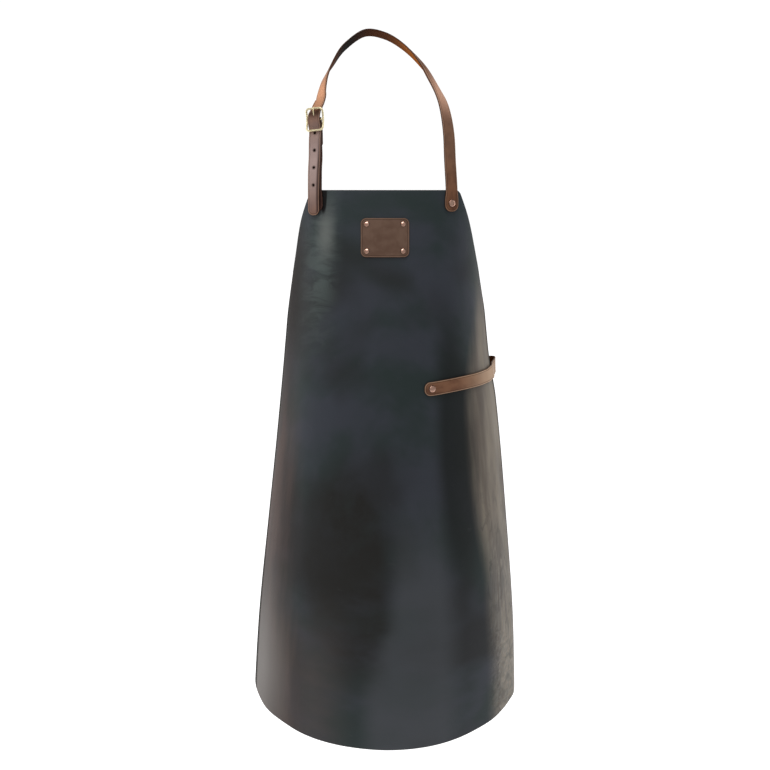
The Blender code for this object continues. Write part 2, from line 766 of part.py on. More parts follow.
def make_patch(hide, collection, cutters):
    lift = LEATHER / 2 + GAP + PATCH_THICKNESS / 2
    rows = stations(PATCH_HEIGHT, (PATCH_CORNER, PATCH_CORNER))
    surface = bmesh.new()
    grid = []
    columns = 12
    for place in rows:
        half = PATCH_WIDTH / 2
        half -= corner_inset(place, PATCH_CORNER) + corner_inset(PATCH_HEIGHT - place, PATCH_CORNER)
        drop = PATCH_DROP + (place - PATCH_HEIGHT / 2) / BODY_LENGTH
        line = []
        for i in range(columns + 1):
            x = half * (2 * i / columns - 1)
            line.append(surface.verts.new(hide_spot(angle_at(x, drop), drop, lift).point))
        grid.append(line)
    fill_grid(surface, grid)
    patch = add_object("patch", finished_mesh(surface, "patch"), collection, PATCH_BROWN)
    solidify(patch, PATCH_THICKNESS)
    x_reach = PATCH_WIDTH / 2 - PATCH_RIVET_INSET
    z_reach = PATCH_HEIGHT / 2 - PATCH_RIVET_INSET
    for number, (x_side, z_side) in enumerate([(-1, 1), (1, 1), (-1, -1), (1, -1)], start=1):
        drop = PATCH_DROP - z_side * z_reach / BODY_LENGTH
        spot = hide_spot(angle_at(x_side * x_reach, drop), drop)
        drill(patch, f"patch_hole_{number}", spot.point, spot.normal, PATCH_POST_RADIUS + GAP, cutters)
        drill(hide, f"patch_body_hole_{number}", spot.point, spot.normal,
              PATCH_POST_RADIUS + GAP, cutters)
        make_rivet(
            f"patch_rivet_{number}", spot.point, spot.normal,
            LEATHER / 2 + GAP + PATCH_THICKNESS, -LEATHER / 2,
            (PATCH_CAP_RADIUS, PATCH_CAP_HEIGHT), PATCH_POST_RADIUS, collection,
        )


def towel_spot(share):
    """The towel strap's middle line, at a share of the way between its rivets."""
    inside = min(max(share, 0.0), 1.0)
    row = row_at(TOWEL_ROWS, inside)
    angle = math.radians(TOWEL_FRONT_ANGLE + (TOWEL_REAR_ANGLE - TOWEL_FRONT_ANGLE) * share)
    drop = TOWEL_DROP - TOWEL_STRAP_WIDTH * row.climb / BODY_LENGTH
    stand_off = max(row.lift, 0.0)
    lift = LEATHER / 2 + GAP + STRAP_THICKNESS / 2 + TOWEL_STAND_OFF * stand_off
    spot = hide_spot(angle, drop, lift)
    upright = spot.up.lerp(Vector((0.0, 0.0, 1.0)), min(stand_off, 1.0)).normalized()
    return Spot(spot.point, spot.normal, spot.across, upright)


def make_towel_strap(hide, collection, cutters):
    steps = 32
    spots = [towel_spot(i / steps) for i in range(steps + 1)]
    path = [spot.point for spot in spots]
    front = path[0] - spots[0].across * TOWEL_END
    rear_spot = spots[-1]
    rear = path[-1] + rear_spot.across * TOWEL_END
    nodes = [Node(front, -spots[0].up), *(Node(s.point, -s.up) for s in spots), Node(rear, -rear_spot.up)]
    route = Route(nodes, steps=8)
    tip = TOWEL_STRAP_WIDTH / 2 * TIP_ROUND
    strap = make_ribbon(
        "towel_strap", route, lambda place: TOWEL_STRAP_WIDTH, (tip, tip), STRAP_THICKNESS,
        collection, STRAP_BROWN,
    )
    for name, share in (("front", 0.0), ("rear", 1.0)):
        spot = towel_spot(share)
        drill(strap, f"towel_strap_hole_{name}", spot.point, spot.normal, POST_RADIUS + GAP, cutters)
        drill(hide, f"towel_body_hole_{name}", spot.point, spot.normal, POST_RADIUS + GAP, cutters)
        base = spot.point - spot.normal * (LEATHER / 2 + GAP + STRAP_THICKNESS / 2)
        make_rivet(
            f"towel_rivet_{name}", base, spot.normal,
            LEATHER / 2 + GAP + STRAP_THICKNESS, -LEATHER / 2,
            (CAP_RADIUS, CAP_HEIGHT), POST_RADIUS, collection,
        )
    return strap


def make_neck_rivets(hide, line, collection, cutters):
    for name, side, thickness in (("right", 1, STRAP_THICKNESS), ("left", -1, BUCKLE_STRAP_THICKNESS)):
        spot = tab_spot(side, TAB_RIVET_REACH, lift=0.0)
        drill(hide, f"neck_body_hole_{name}", spot.point, spot.normal, POST_RADIUS + GAP, cutters)
        make_rivet(
            f"neck_rivet_{name}", spot.point, spot.normal,
            LEATHER / 2 + GAP + thickness, -LEATHER / 2,
            (CAP_RADIUS, CAP_HEIGHT), POST_RADIUS, collection,
        )
    fold = line.point(BUCKLE_HEIGHT - FOLD_RIVET_DOWN, (FRONT_LAYER + BACK_LAYER) / 2)
    reach = (FRONT_LAYER - BACK_LAYER) / 2 + BUCKLE_STRAP_THICKNESS / 2
    make_rivet(
        "buckle_fold_rivet", fold, line.ahead, reach, -reach,
        (FOLD_CAP_RADIUS, FOLD_CAP_HEIGHT), PATCH_POST_RADIUS, collection,
    )


def main():
    clear_scene()
    apron = new_collection("blacksmith_apron")
    cutters = new_collection("cutters")
    cutters.hide_render = True
    line = LeftLine()
    hide = make_hide(apron)
    make_patch(hide, apron, cutters)
    make_towel_strap(hide, apron, cutters)
    make_neck_rivets(hide, line, apron, cutters)
    make_neck_strap(line, apron, cutters)
    make_buckle_strap(line, apron, cutters)
    make_buckle(line, apron, cutters)


main()
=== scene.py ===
"""The looks of a blacksmith's leather apron, as it is worn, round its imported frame."""

import math
from collections import namedtuple

import bmesh
import bpy
import numpy as np
from mathutils import Matrix, Vector
from mathutils.kdtree import KDTree

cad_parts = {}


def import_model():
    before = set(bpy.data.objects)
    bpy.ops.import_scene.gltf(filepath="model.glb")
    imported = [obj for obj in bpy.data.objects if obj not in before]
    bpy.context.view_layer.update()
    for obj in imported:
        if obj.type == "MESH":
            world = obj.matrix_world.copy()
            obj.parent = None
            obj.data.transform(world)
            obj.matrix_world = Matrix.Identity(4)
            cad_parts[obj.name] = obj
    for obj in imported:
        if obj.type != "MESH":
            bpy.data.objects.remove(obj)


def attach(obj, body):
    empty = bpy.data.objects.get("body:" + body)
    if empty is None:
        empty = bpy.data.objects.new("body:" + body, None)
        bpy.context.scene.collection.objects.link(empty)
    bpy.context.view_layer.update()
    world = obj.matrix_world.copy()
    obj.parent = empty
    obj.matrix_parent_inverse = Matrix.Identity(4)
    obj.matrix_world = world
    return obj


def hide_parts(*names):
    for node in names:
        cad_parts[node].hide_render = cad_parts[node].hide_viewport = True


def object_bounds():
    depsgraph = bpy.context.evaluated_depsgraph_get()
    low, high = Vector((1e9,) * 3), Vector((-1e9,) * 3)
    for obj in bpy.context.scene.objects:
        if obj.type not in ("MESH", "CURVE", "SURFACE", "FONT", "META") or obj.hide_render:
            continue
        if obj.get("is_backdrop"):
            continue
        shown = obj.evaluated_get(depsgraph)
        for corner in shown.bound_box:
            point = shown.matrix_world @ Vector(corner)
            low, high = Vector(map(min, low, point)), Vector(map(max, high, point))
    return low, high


# Sizes in metres and turns in degrees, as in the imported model
LEATHER = 0.0025
BODY_LENGTH = 0.969
HEM_HALF_SPAN = 0.245
HEM_DEPTH = 0.150
HEM_RISE = 0.095
HEM_FULLNESS = 1.7
LOWER_CORNER = 0.096
UPPER_CORNER = 0.008
NECK_RISE = 0.2635
NECK_REACH = 0.180
NECK_HALF_SPAN = 0.1085
RIGHT_TAB_OUT = 0.987
LEFT_TAB_OUT = 1.023
STRAP_THICKNESS = 0.0028
NECK_STRAP_WIDTH = 0.0210
TAB_WIDTH = 0.0245
TOWEL_STRAP_WIDTH = 0.0235
BUCKLE_STRAP_THICKNESS = 0.0022
TAB_REACH = 0.0350
TAB_RIVET_REACH = 0.0215
TAB_NECK = 0.0180
FREE_END_REACH = 0.0410
FREE_END_OUT = 0.0018
HOLE_RADIUS = 0.0021
HOLE_PITCH = 0.0285
FREE_HOLES = 4
PUNCH_DEPTH = 0.008
FOLD_RETURN = 0.045
FOLD_GAP = 0.0010
BUCKLE_HEIGHT = 0.1140
BUCKLE_WIDTH = 0.0310
BUCKLE_LENGTH = 0.0380
BUCKLE_WIRE = 0.0013
BUCKLE_CORNER = 0.0050
BUCKLE_BOW = 0.0040
TONGUE_WIRE = 0.0009
TONGUE_HOLE = 0.0019
PATCH_WIDTH = 0.078
PATCH_HEIGHT = 0.063
PATCH_THICKNESS = 0.0022
PATCH_CORNER = 0.009
PATCH_DROP = 0.0785
PATCH_RIVET_INSET = 0.0098
TOWEL_DROP = 0.3345
TOWEL_FRONT_ANGLE = 25.0
TOWEL_REAR_ANGLE = 113.0
TOWEL_STAND_OFF = 0.0115
TOWEL_END = 0.0135
CAP_RADIUS = 0.0060
CAP_HEIGHT = 0.0021
PATCH_CAP_RADIUS = 0.0044
PATCH_CAP_HEIGHT = 0.0017
FOLD_CAP_RADIUS = 0.0042
FOLD_CAP_HEIGHT = 0.0009
WASHER_SHARE = 0.85
WASHER_HEIGHT = 0.0009
POST_RADIUS = 0.0021
SMALL_POST_RADIUS = 0.0016
GAP = 0.0003
LEFT_TURN = 20.0
LEFT_LEAN = 0.160
LEFT_SPREAD = 0.021
NAPE_LEAN = 24.0
TIP_ROUND = 0.88

Section = namedtuple("Section", "drop span flank depth bulge wrap")
SECTIONS = [
    Section(0.00, 0.610, 0.000, 0.43, 0.00, 54),
    Section(0.05, 0.627, 0.000, 0.48, 0.02, 64),
    Section(0.12, 0.643, 0.012, 0.57, 0.05, 73),
    Section(0.22, 0.682, 0.018, 0.67, 0.09, 86),
    Section(0.30, 0.717, 0.022, 0.75, 0.11, 107),
    Section(0.37, 0.750, 0.040, 0.81, 0.12, 118),
    Section(0.60, 0.857, 0.033, 0.93, 0.13, 118),
    Section(0.80, 0.943, 0.021, 0.98, 0.12, 111),
    Section(1.00, 0.995, 0.004, 1.00, 0.11, 105),
]

NeckRow = namedtuple("NeckRow", "out back up turn")
NECK_ROWS = [
    NeckRow(0.976, -0.833, -0.818, 24),
    NeckRow(0.963, -0.750, -0.665, 26),
    NeckRow(0.930, -0.656, -0.545, 31),
    NeckRow(0.876, -0.533, -0.435, 38),
    NeckRow(0.764, -0.378, -0.315, 53),
    NeckRow(0.612, -0.233, -0.206, 72),
    NeckRow(0.317, -0.086, -0.083, 86),
    NeckRow(0.000, -0.012, -0.004, 90),
    NeckRow(-0.303, 0.000, 0.016, 91),
    NeckRow(-0.625, -0.133, -0.080, 93),
    NeckRow(-0.808, -0.367, -0.206, 99.5),
    NeckRow(-0.911, -0.556, -0.309, 117),
    NeckRow(-0.957, -0.690, -0.409, 132),
    NeckRow(-0.964, -0.752, -0.452, 141),
]

TowelRow = namedtuple("TowelRow", "share lift climb")
TOWEL_ROWS = [
    TowelRow(0.00, 0.00, 0.00),
    TowelRow(0.19, 0.03, 0.22),
    TowelRow(0.41, 0.05, 0.40),
    TowelRow(0.60, 0.08, 0.58),
    TowelRow(0.74, 0.20, 0.74),
    TowelRow(0.86, 0.95, 0.87),
    TowelRow(0.94, 0.00, 0.90),
    TowelRow(1.00, 0.00, 0.90),
]

# Fineness
HIDE_COLUMNS = 150
HIDE_ROWS = 190
STRAP_STEP = 0.0020
EDGE_ROUND = 0.0008
EDGE_SHARES = (0.0, 0.05, 0.18, 0.42, 0.72, 1.0)
STRAP_SHARES = (0.0, 0.15, 0.33, 0.5, 0.62, 0.70, 0.735, 0.765, 0.80, 0.87, 0.915, 0.945, 0.97, 0.988, 1.0)
PATCH_EDGE_SHARES = (0.945, 0.96, 0.972, 0.982, 0.99, 0.996, 1.0)

# How the neck strap is cupped where it comes over the shoulder
SHOULDER_CUP = 0.0055
SHOULDER_PLACE = 0.270
SHOULDER_REACH = 0.060

# How far the neck strap is rolled, sunk and shifted where it goes in under the buckle's top bar
ENTRY_ROLL = 14.0
ENTRY_SINK = 0.0025
ENTRY_SHIFT = 0.0012

# The brass wire as shown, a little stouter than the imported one
BRASS_WIRE = 0.0016

# The crease along a strap's edges, the groove round the patch and the strap's crown
CREASE_IN = 0.0025
CREASE_DEPTH = 0.00022
CREASE_WIDTH = 0.00045
GROOVE_IN = 0.0022
GROOVE_DEPTH = 0.00018
GROOVE_WIDTH = 0.0004
CROWN = 0.00015

Node = namedtuple("Node", "point across")


# The surface of the worn hide, for arrays of places

def eased(rows, index, place):
    """One column of a table at places along its first, smooth through its rows."""
    places = np.array([row[0] for row in rows], float)
    values = np.array([row[index] for row in rows], float)
    place = np.clip(np.asarray(place, float), places[0], places[-1])
    low = np.clip(np.searchsorted(places, place, side="right") - 1, 0, len(places) - 2)
    before = np.maximum(low - 1, 0)
    after = np.minimum(low + 2, len(places) - 1)
    span = places[low + 1] - places[low]
    share = (place - places[low]) / span
    leaving = (values[low + 1] - values[before]) / (places[low + 1] - places[before]) * span
    arriving = (values[after] - values[low]) / (places[after] - places[low]) * span
    a = (1 + 2 * share) * (1 - share) ** 2
    b = share * (1 - share) ** 2
    c = share ** 2 * (3 - 2 * share)
    d = share ** 2 * (share - 1)
    return a * values[low] + b * leaving + c * values[low + 1] + d * arriving


def smooth(value, low, high):
    share = np.clip((value - low) / (high - low), 0.0, 1.0)
    return share * share * (3 - 2 * share)


def unevenness(angle, drop):
    """The slow waves and flutes of thick leather, outwards, in metres."""
    low = smooth(drop, 0.35, 0.85)
    flutes = 0.0011 * np.sin(13.0 * angle + 2.2 * drop + 0.6) * low * smooth(np.abs(angle), 0.5, 1.1)
    fine = 0.0004 * np.sin(31.0 * angle + 5.0 * drop) * smooth(angle, 0.9, 1.3) * smooth(drop, 0.1, 0.3)
    broad = 0.0010 * np.sin(3.1 * angle + 5.3 * drop + 1.0) * smooth(drop, 0.15, 0.5)
    hem = 0.0014 * np.sin(7.0 * angle - 1.1) * smooth(drop, 0.80, 1.0)
    return flutes + fine + broad + hem


def hide_points(angle, drop):
    angle, drop = np.broadcast_arrays(np.asarray(angle, float), np.asarray(drop, float))
    stand_out = eased(SECTIONS, 2, drop) * np.maximum(np.sin(angle), 0.0)
    span = HEM_HALF_SPAN * (eased(SECTIONS, 1, drop) + stand_out)
    front = -NECK_REACH - HEM_DEPTH * eased(SECTIONS, 4, drop)
    depth = HEM_DEPTH * eased(SECTIONS, 3, drop)
    out = unevenness(angle, drop)
    return np.stack([
        span * np.sin(angle) + out * np.sin(angle),
        front + depth * (1 - np.cos(angle)) - out * np.cos(angle),
        -NECK_RISE - BODY_LENGTH * drop,
    ], axis=-1)


def unit(vectors):
    return vectors / np.maximum(np.linalg.norm(vectors, axis=-1, keepdims=True), 1e-12)


def hide_frames(angle, drop):
    """(points, normals, across, up) of the hide's middle surface."""
    step = 1e-3
    across = unit(hide_points(angle + step, drop) - hide_points(angle - step, drop))
    up = unit(hide_points(angle, drop - step) - hide_points(angle, drop + step))
    normal = unit(np.cross(across, up))
    return hide_points(angle, drop), normal, across, np.cross(normal, across)


def hide_spot(angle, drop, lift=0.0):
    point, normal, across, up = hide_frames(angle, drop)
    return Vector(point + normal * lift), Vector(normal), Vector(across), Vector(up)


def angle_at(x, drop):
    """The angles at which the hide's front reaches x."""
    x, drop = np.broadcast_arrays(np.asarray(x, float), np.asarray(drop, float))
    low = np.full(x.shape, -math.pi / 2)
    high = np.full(x.shape, math.pi / 2)
    for _ in range(40):
        middle = (low + high) / 2
        under = hide_points(middle, drop)[..., 0] < x
        low = np.where(under, middle, low)
        high = np.where(under, high, middle)
    return (low + high) / 2


def half_girth(drop):
    """Flat width from the middle line to the side edge, for an array of drops."""
    drop = np.asarray(drop, float)
    reach = np.radians(eased(SECTIONS, 5, drop))
    points = np.stack([hide_points(-reach * i / 24, drop) for i in range(25)])
    return np.linalg.norm(np.diff(points, axis=0), axis=-1).sum(axis=0)


def corner_inset(distance, radius):
    distance = np.asarray(distance, float)
    inside = np.maximum(radius ** 2 - (radius - distance) ** 2, 0.0)
    return np.where(distance >= radius, 0.0, radius - np.sqrt(inside))


# Meshes of leather

def rounded(distance, thickness):
    """Half the thickness at a distance from a worked edge."""
    share = 1 - np.clip(distance / EDGE_ROUND, 0.0, 1.0)
    return thickness / 2 * np.power(np.maximum(1 - share ** 2.6, 0.0), 1 / 2.6)


def slab(name, points, normals, front, back, marks, material):
    """A leather piece on a grid of middle points. front and back are its half heights there,
    which meet at the outline. marks are the grid's named attributes."""
    rows, columns = points.shape[:2]
    count = rows * columns
    top = points + normals * front[..., None]
    under = points - normals * back[..., None]
    index = np.arange(count).reshape(rows, columns)
    outline = np.zeros((rows, columns), bool)
    outline[0, :] = outline[-1, :] = outline[:, 0] = outline[:, -1] = True
    below = np.where(outline, index, index + count)
    a, b, c, d = index[:-1, :-1], index[1:, :-1], index[1:, 1:], index[:-1, 1:]
    front_faces = np.stack([a, b, c, d], axis=-1).reshape(-1, 4)
    a, b, c, d = below[:-1, :-1], below[1:, :-1], below[1:, 1:], below[:-1, 1:]
    back_faces = np.stack([d, c, b, a], axis=-1).reshape(-1, 4)
    mesh = bpy.data.meshes.new(name)
    places = np.concatenate([top.reshape(-1, 3), under.reshape(-1, 3)])
    mesh.from_pydata(places.tolist(), [], np.concatenate([front_faces, back_faces]).tolist())
    for title, values in marks.items():
        layer = mesh.attributes.new(title, "FLOAT_VECTOR", "POINT")
        both = np.concatenate([values.reshape(-1, 3), values.reshape(-1, 3)])
        layer.data.foreach_set("vector", both.astype(np.float32).ravel())
    face = mesh.attributes.new("face", "FLOAT", "POINT")
    side = np.concatenate([np.ones(count), np.zeros(count)])
    face.data.foreach_set("value", side.astype(np.float32))
    close_up(mesh, 2e-6)
    mesh.materials.append(material)
    return show(name, mesh)


def close_up(mesh, distance):
    """Joins a mesh's doubled corners, drops its loose ones and turns its faces outwards."""
    surface = bmesh.new()
    surface.from_mesh(mesh)
    loose = [corner for corner in surface.verts if not corner.link_faces]
    bmesh.ops.delete(surface, geom=loose, context="VERTS")
    bmesh.ops.remove_doubles(surface, verts=surface.verts, dist=distance)
    bmesh.ops.recalc_face_normals(surface, faces=surface.faces)
    surface.to_mesh(mesh)
    surface.free()
    mesh.shade_smooth()


def mesh_from(name, surface):
    mesh = bpy.data.meshes.new(name)
    surface.to_mesh(mesh)
    surface.free()
    return mesh


def show(name, mesh):
    item = bpy.data.objects.new(name, mesh)
    bpy.context.scene.collection.objects.link(item)
    return item


def spread(edge, length, count):
    """Distances over a length: close together at both ends, as far in as the edge is round."""
    ends = np.array(EDGE_SHARES) * edge
    middle = np.linspace(edge, length - edge, count + 1)
    return np.concatenate([ends[:-1], middle, (length - ends[:-1])[::-1]])


def mirrored(shares):
    """Shares from 0 to 1 as those from -1 to 1."""
    shares = np.array(shares)
    return np.concatenate([-shares[::-1], shares[1:]])


def make_hide(material):
    shares = np.linspace(-1, 1, HIDE_COLUMNS + 1)
    shares = 0.55 * shares + 0.45 * np.sin(shares * math.pi / 2)
    edges = np.array(EDGE_SHARES[:-1])
    downs = np.linspace(0, 1, HIDE_ROWS + 1)
    top_girth = float(half_girth(0.0))
    hem_girth = float(half_girth(1.0))

    def drops_at(across):
        """Drop of each row, at positions across as a share of the half girth."""
        from_side = 1 - np.abs(across)
        start = corner_inset(from_side * top_girth, UPPER_CORNER) / BODY_LENGTH
        rise = HEM_RISE * np.abs(across) ** HEM_FULLNESS + corner_inset(from_side * hem_girth, LOWER_CORNER)
        end = 1 - rise / BODY_LENGTH
        edge = EDGE_ROUND / BODY_LENGTH
        above = start + edges[:, None] * edge
        middle = start + edge + (end - start - 2 * edge) * downs[:, None]
        below = end - edges[::-1][:, None] * edge
        return np.concatenate([above, middle, below])

    coarse = np.concatenate([np.full(len(edges), -1.0), shares, np.full(len(edges), 1.0)])
    guess = drops_at(coarse)
    girth = half_girth(guess)
    across = coarse * np.ones_like(girth)
    left = slice(0, len(edges))
    right = slice(-len(edges), None)
    across[:, len(edges):-len(edges)] *= 1 - EDGE_ROUND / girth[:, len(edges):-len(edges)]
    across[:, left] = -1 + edges * EDGE_ROUND / girth[:, left]
    across[:, right] = 1 - edges[::-1] * EDGE_ROUND / girth[:, right]
    drop = np.stack([drops_at(across[i])[i] for i in range(across.shape[0])])
    wrap = np.radians(eased(SECTIONS, 5, drop))
    angle = across * wrap
    points, normals, _, _ = hide_frames(angle, drop)
    girth = half_girth(drop)
    side_gap = (1 - np.abs(across)) * girth
    top_gap = (drop - drop[0]) * BODY_LENGTH
    hem_gap = (drop[-1] - drop) * BODY_LENGTH
    edge = np.minimum(np.minimum(side_gap, top_gap), hem_gap)
    half = rounded(edge, LEATHER)
    marks = {
        "flat": np.stack([across * girth, drop * BODY_LENGTH, edge], axis=-1),
        "place": np.stack([np.sin(angle), drop, angle], axis=-1),
    }
    return slab("apron_hide", points, normals, half, half, marks, material)


# Straps

class Route:
    """A strap's middle line through nodes, measured by distance, with its across direction."""

    def __init__(self, nodes, steps=24):
        self.samples = []
        padded = [nodes[0], *nodes, nodes[-1]]
        for index in range(1, len(padded) - 2):
            for step in range(steps):
                self.samples.append(self.between(padded[index - 1:index + 3], step / steps))
        self.samples.append(nodes[-1])
        self.points = np.array([sample.point for sample in self.samples])
        self.sides = np.array([sample.across for sample in self.samples])
        self.aheads = unit(np.gradient(self.points, axis=0))
        gaps = np.linalg.norm(np.diff(self.points, axis=0), axis=1)
        self.distances = np.concatenate([[0.0], np.cumsum(gaps)])
        self.length = float(self.distances[-1])

    @staticmethod
    def between(four, share):
        """Centripetal curve through the middle two of four nodes."""
        before, start, end, after = four
        knots = [0.0]
        for a, b in zip(four, four[1:]):
            knots.append(knots[-1] + max((b.point - a.point).length, 1e-9) ** 0.5)
        if before is start:
            knots = [knots[2] * -1, 0.0, knots[2], knots[3]]
        if end is after:
            knots[3] = knots[2] * 2 - knots[1]
        place = knots[1] + (knots[2] - knots[1]) * share

        def mix(low, high, first, last):
            return first.lerp(last, (place - low) / (high - low))

        def through(name):
            values = [getattr(node, name) for node in four]
            if before is start:
                values[0] = values[1] * 2 - values[2]
            if end is after:
                values[3] = values[2] * 2 - values[1]
            a = [mix(knots[i], knots[i + 1], values[i], values[i + 1]) for i in range(3)]
            b = [mix(knots[i], knots[i + 2], a[i], a[i + 1]) for i in range(2)]
            return mix(knots[1], knots[2], b[0], b[1])

        return Node(through("point"), through("across"))

    def at(self, distances):
        """(points, across, faces) at an array of distances from the first node."""
        distances = np.clip(np.asarray(distances, float), 0.0, self.length)

        def read(values, places):
            return np.stack([np.interp(places, self.distances, values[:, i]) for i in range(3)], axis=-1)

        along = unit(read(self.aheads, distances))
        across = read(self.sides, distances)
        across = unit(across - along * (along * across).sum(-1, keepdims=True))
        return read(self.points, distances), across, unit(np.cross(across, along))

    def distance_to(self, target):
        gaps = np.linalg.norm(self.points - np.array(target), axis=1)
        return float(self.distances[int(gaps.argmin())])


def strap_places(length, tips, fine=()):
    """Distances along a strap: close at its round ends and where it bends sharply."""
    swings = np.linspace(0, math.pi / 2, 15)
    places = [tips[0] * (1 - np.cos(swings)), length - tips[1] * (1 - np.cos(swings))]
    count = max(2, round((length - tips[0] - tips[1]) / STRAP_STEP))
    places.append(np.linspace(tips[0], length - tips[1], count + 1))
    for middle, reach, step in fine:
        places.append(np.arange(middle - reach, middle + reach, step))
    merged = np.unique(np.clip(np.concatenate(places), 0.0, length))
    keep = np.concatenate([[True], np.diff(merged) > 1e-4])
    keep[-1] = True
    return merged[keep]


def make_strap(name, route, width_at, tips, thickness, material, fine=(), cup=None):
    """A bridle leather strap: worked round edges, a crease along both of them and round tips."""
    places = strap_places(route.length, tips, fine)
    points, across, faces = route.at(places)
    full = np.array([width_at(place) / 2 for place in places])
    half = full - corner_inset(places, tips[0]) - corner_inset(route.length - places, tips[1])
    half = np.maximum(half, 0.0)
    shares = mirrored(STRAP_SHARES)
    reach = half[:, None] * shares
    gap = half[:, None] - np.abs(reach)
    for place, tip in ((places, tips[0]), (route.length - places, tips[1])):
        past_flat = np.maximum(np.abs(reach) - (full[:, None] - tip), 0.0)
        round_gap = tip - np.hypot(tip - place[:, None], past_flat)
        gap = np.where(place[:, None] < tip, np.minimum(gap, round_gap), gap)
    gap = np.maximum(gap, 0.0)
    gap[0] = gap[-1] = 0.0
    body = rounded(gap, thickness)
    crease = CREASE_DEPTH * np.exp(-((gap - CREASE_IN) / CREASE_WIDTH) ** 2)
    crown = CROWN * (1 - shares ** 2) * np.ones_like(reach)
    front = np.maximum(body - crease + crown * smooth(gap, 0.0, 0.002), 0.0)
    front[gap <= 0] = 0.0
    body[gap <= 0] = 0.0
    middle = points[:, None] + across[:, None] * reach[..., None]
    normals = np.repeat(faces[:, None], len(shares), axis=1)
    if cup is not None:
        bend = cup(places)[:, None] * (shares ** 2)[None, :]
        middle = middle - normals * bend[..., None]
    marks = {"strip": np.stack([np.repeat(places[:, None], len(shares), 1), reach, gap], axis=-1)}
    return slab(name, middle, normals, front, body, marks, material)


def tab_spot(side, reach, lift=None):
    drop = reach / BODY_LENGTH
    if lift is None:
        thickness = STRAP_THICKNESS if side > 0 else BUCKLE_STRAP_THICKNESS
        lift = LEATHER / 2 + GAP + thickness / 2
    out = RIGHT_TAB_OUT if side > 0 else -LEFT_TAB_OUT
    return hide_spot(angle_at(out * NECK_HALF_SPAN, drop), drop, lift)


def tab_nodes(side):
    spots = [tab_spot(side, reach) for reach in (TAB_REACH, TAB_RIVET_REACH, TAB_RIVET_REACH / 2, 0.0)]
    return [Node(spot[0], spot[2]) for spot in spots]


def tab_width(place):
    share = min(max((place - TAB_NECK) / TAB_NECK, 0.0), 1.0)
    return TAB_WIDTH + (NECK_STRAP_WIDTH - TAB_WIDTH) * share * share * (3 - 2 * share)


class LeftLine:
    """The straight line of the buckle strap above the bib, and its directions."""

    def __init__(self):
        self.origin = tab_spot(-1, 0.0)[0]
        self.up = Vector((-LEFT_SPREAD, LEFT_LEAN, 1.0)).normalized()
        turn = math.radians(LEFT_TURN)
        ahead = Vector((-math.sin(turn), -math.cos(turn), 0.0))
        self.ahead = (ahead - self.up * ahead.dot(self.up)).normalized()
        self.across = self.up.cross(self.ahead).normalized()

    def point(self, height, ahead, across=0.0):
        return self.origin + self.up * height + self.ahead * ahead + self.across * across


BAR_SPAN = BUCKLE_LENGTH / 2 - BUCKLE_WIRE
END_BARS_AHEAD = BUCKLE_BOW * 0.4
CENTRE_BAR_AHEAD = END_BARS_AHEAD - BUCKLE_BOW
UNDER_BARS = END_BARS_AHEAD - BUCKLE_WIRE - 2 * GAP - STRAP_THICKNESS / 2
OVER_CENTRE = CENTRE_BAR_AHEAD + BUCKLE_WIRE + GAP + BUCKLE_STRAP_THICKNESS + GAP + STRAP_THICKNESS / 2
FOLD_RADIUS = BUCKLE_WIRE + GAP + BUCKLE_STRAP_THICKNESS / 2
FRONT_LAYER = UNDER_BARS - STRAP_THICKNESS / 2 - GAP - BUCKLE_STRAP_THICKNESS / 2 - GAP / 2
BACK_LAYER = FRONT_LAYER - BUCKLE_STRAP_THICKNESS - FOLD_GAP
TONGUE_HEIGHT = 0.36 * BAR_SPAN
FOLD_RIVET_DOWN = BUCKLE_LENGTH / 2 + FOLD_RETURN * 0.32


def neck_strap_route(line):
    lean = math.radians(NAPE_LEAN)
    over = Vector((0.0, math.cos(lean), -math.sin(lean)))
    nodes = tab_nodes(1)
    for row in NECK_ROWS:
        turn = math.radians(row.turn)
        point = Vector((row.out * NECK_HALF_SPAN, row.back * NECK_REACH, row.up * NECK_RISE))
        nodes.append(Node(point, Vector((math.cos(turn), 0.0, 0.0)) + over * math.sin(turn)))
    centre = BUCKLE_HEIGHT
    rivet_clear = BUCKLE_STRAP_THICKNESS / 2 + CAP_HEIGHT + STRAP_THICKNESS / 2
    roll = math.radians(ENTRY_ROLL)
    rolled = line.across * -math.cos(roll) - line.ahead * math.sin(roll)
    entry = line.point(centre + BAR_SPAN * 0.96, UNDER_BARS - ENTRY_SINK, ENTRY_SHIFT)
    under = line.point(centre + BAR_SPAN * 0.45, (UNDER_BARS + 2 * OVER_CENTRE) / 3, ENTRY_SHIFT * 0.3)
    nodes += [Node(entry, rolled), Node(under, -line.across)]
    heights = [
        (centre, OVER_CENTRE),
        (centre - BAR_SPAN * 0.45, (UNDER_BARS + 2 * OVER_CENTRE) / 3),
        (centre - BAR_SPAN, UNDER_BARS),
        (centre - FOLD_RIVET_DOWN, UNDER_BARS + FOLD_CAP_HEIGHT + 2 * GAP),
        (centre - FOLD_RIVET_DOWN - FOLD_RETURN * 0.6, UNDER_BARS + 0.55 * rivet_clear),
        (centre * 0.30, 0.72 * rivet_clear),
    ]
    for height, ahead in heights:
        shift = FREE_END_OUT * max(1 - height / (centre - BAR_SPAN), 0.0)
        nodes.append(Node(line.point(height, ahead, -shift), -line.across))
    for reach in (0.0, FREE_END_REACH):
        point, normal, across, _ = tab_spot(-1, reach)
        nodes.append(Node(point + normal * rivet_clear - across * FREE_END_OUT, -across))
    return Route(nodes)


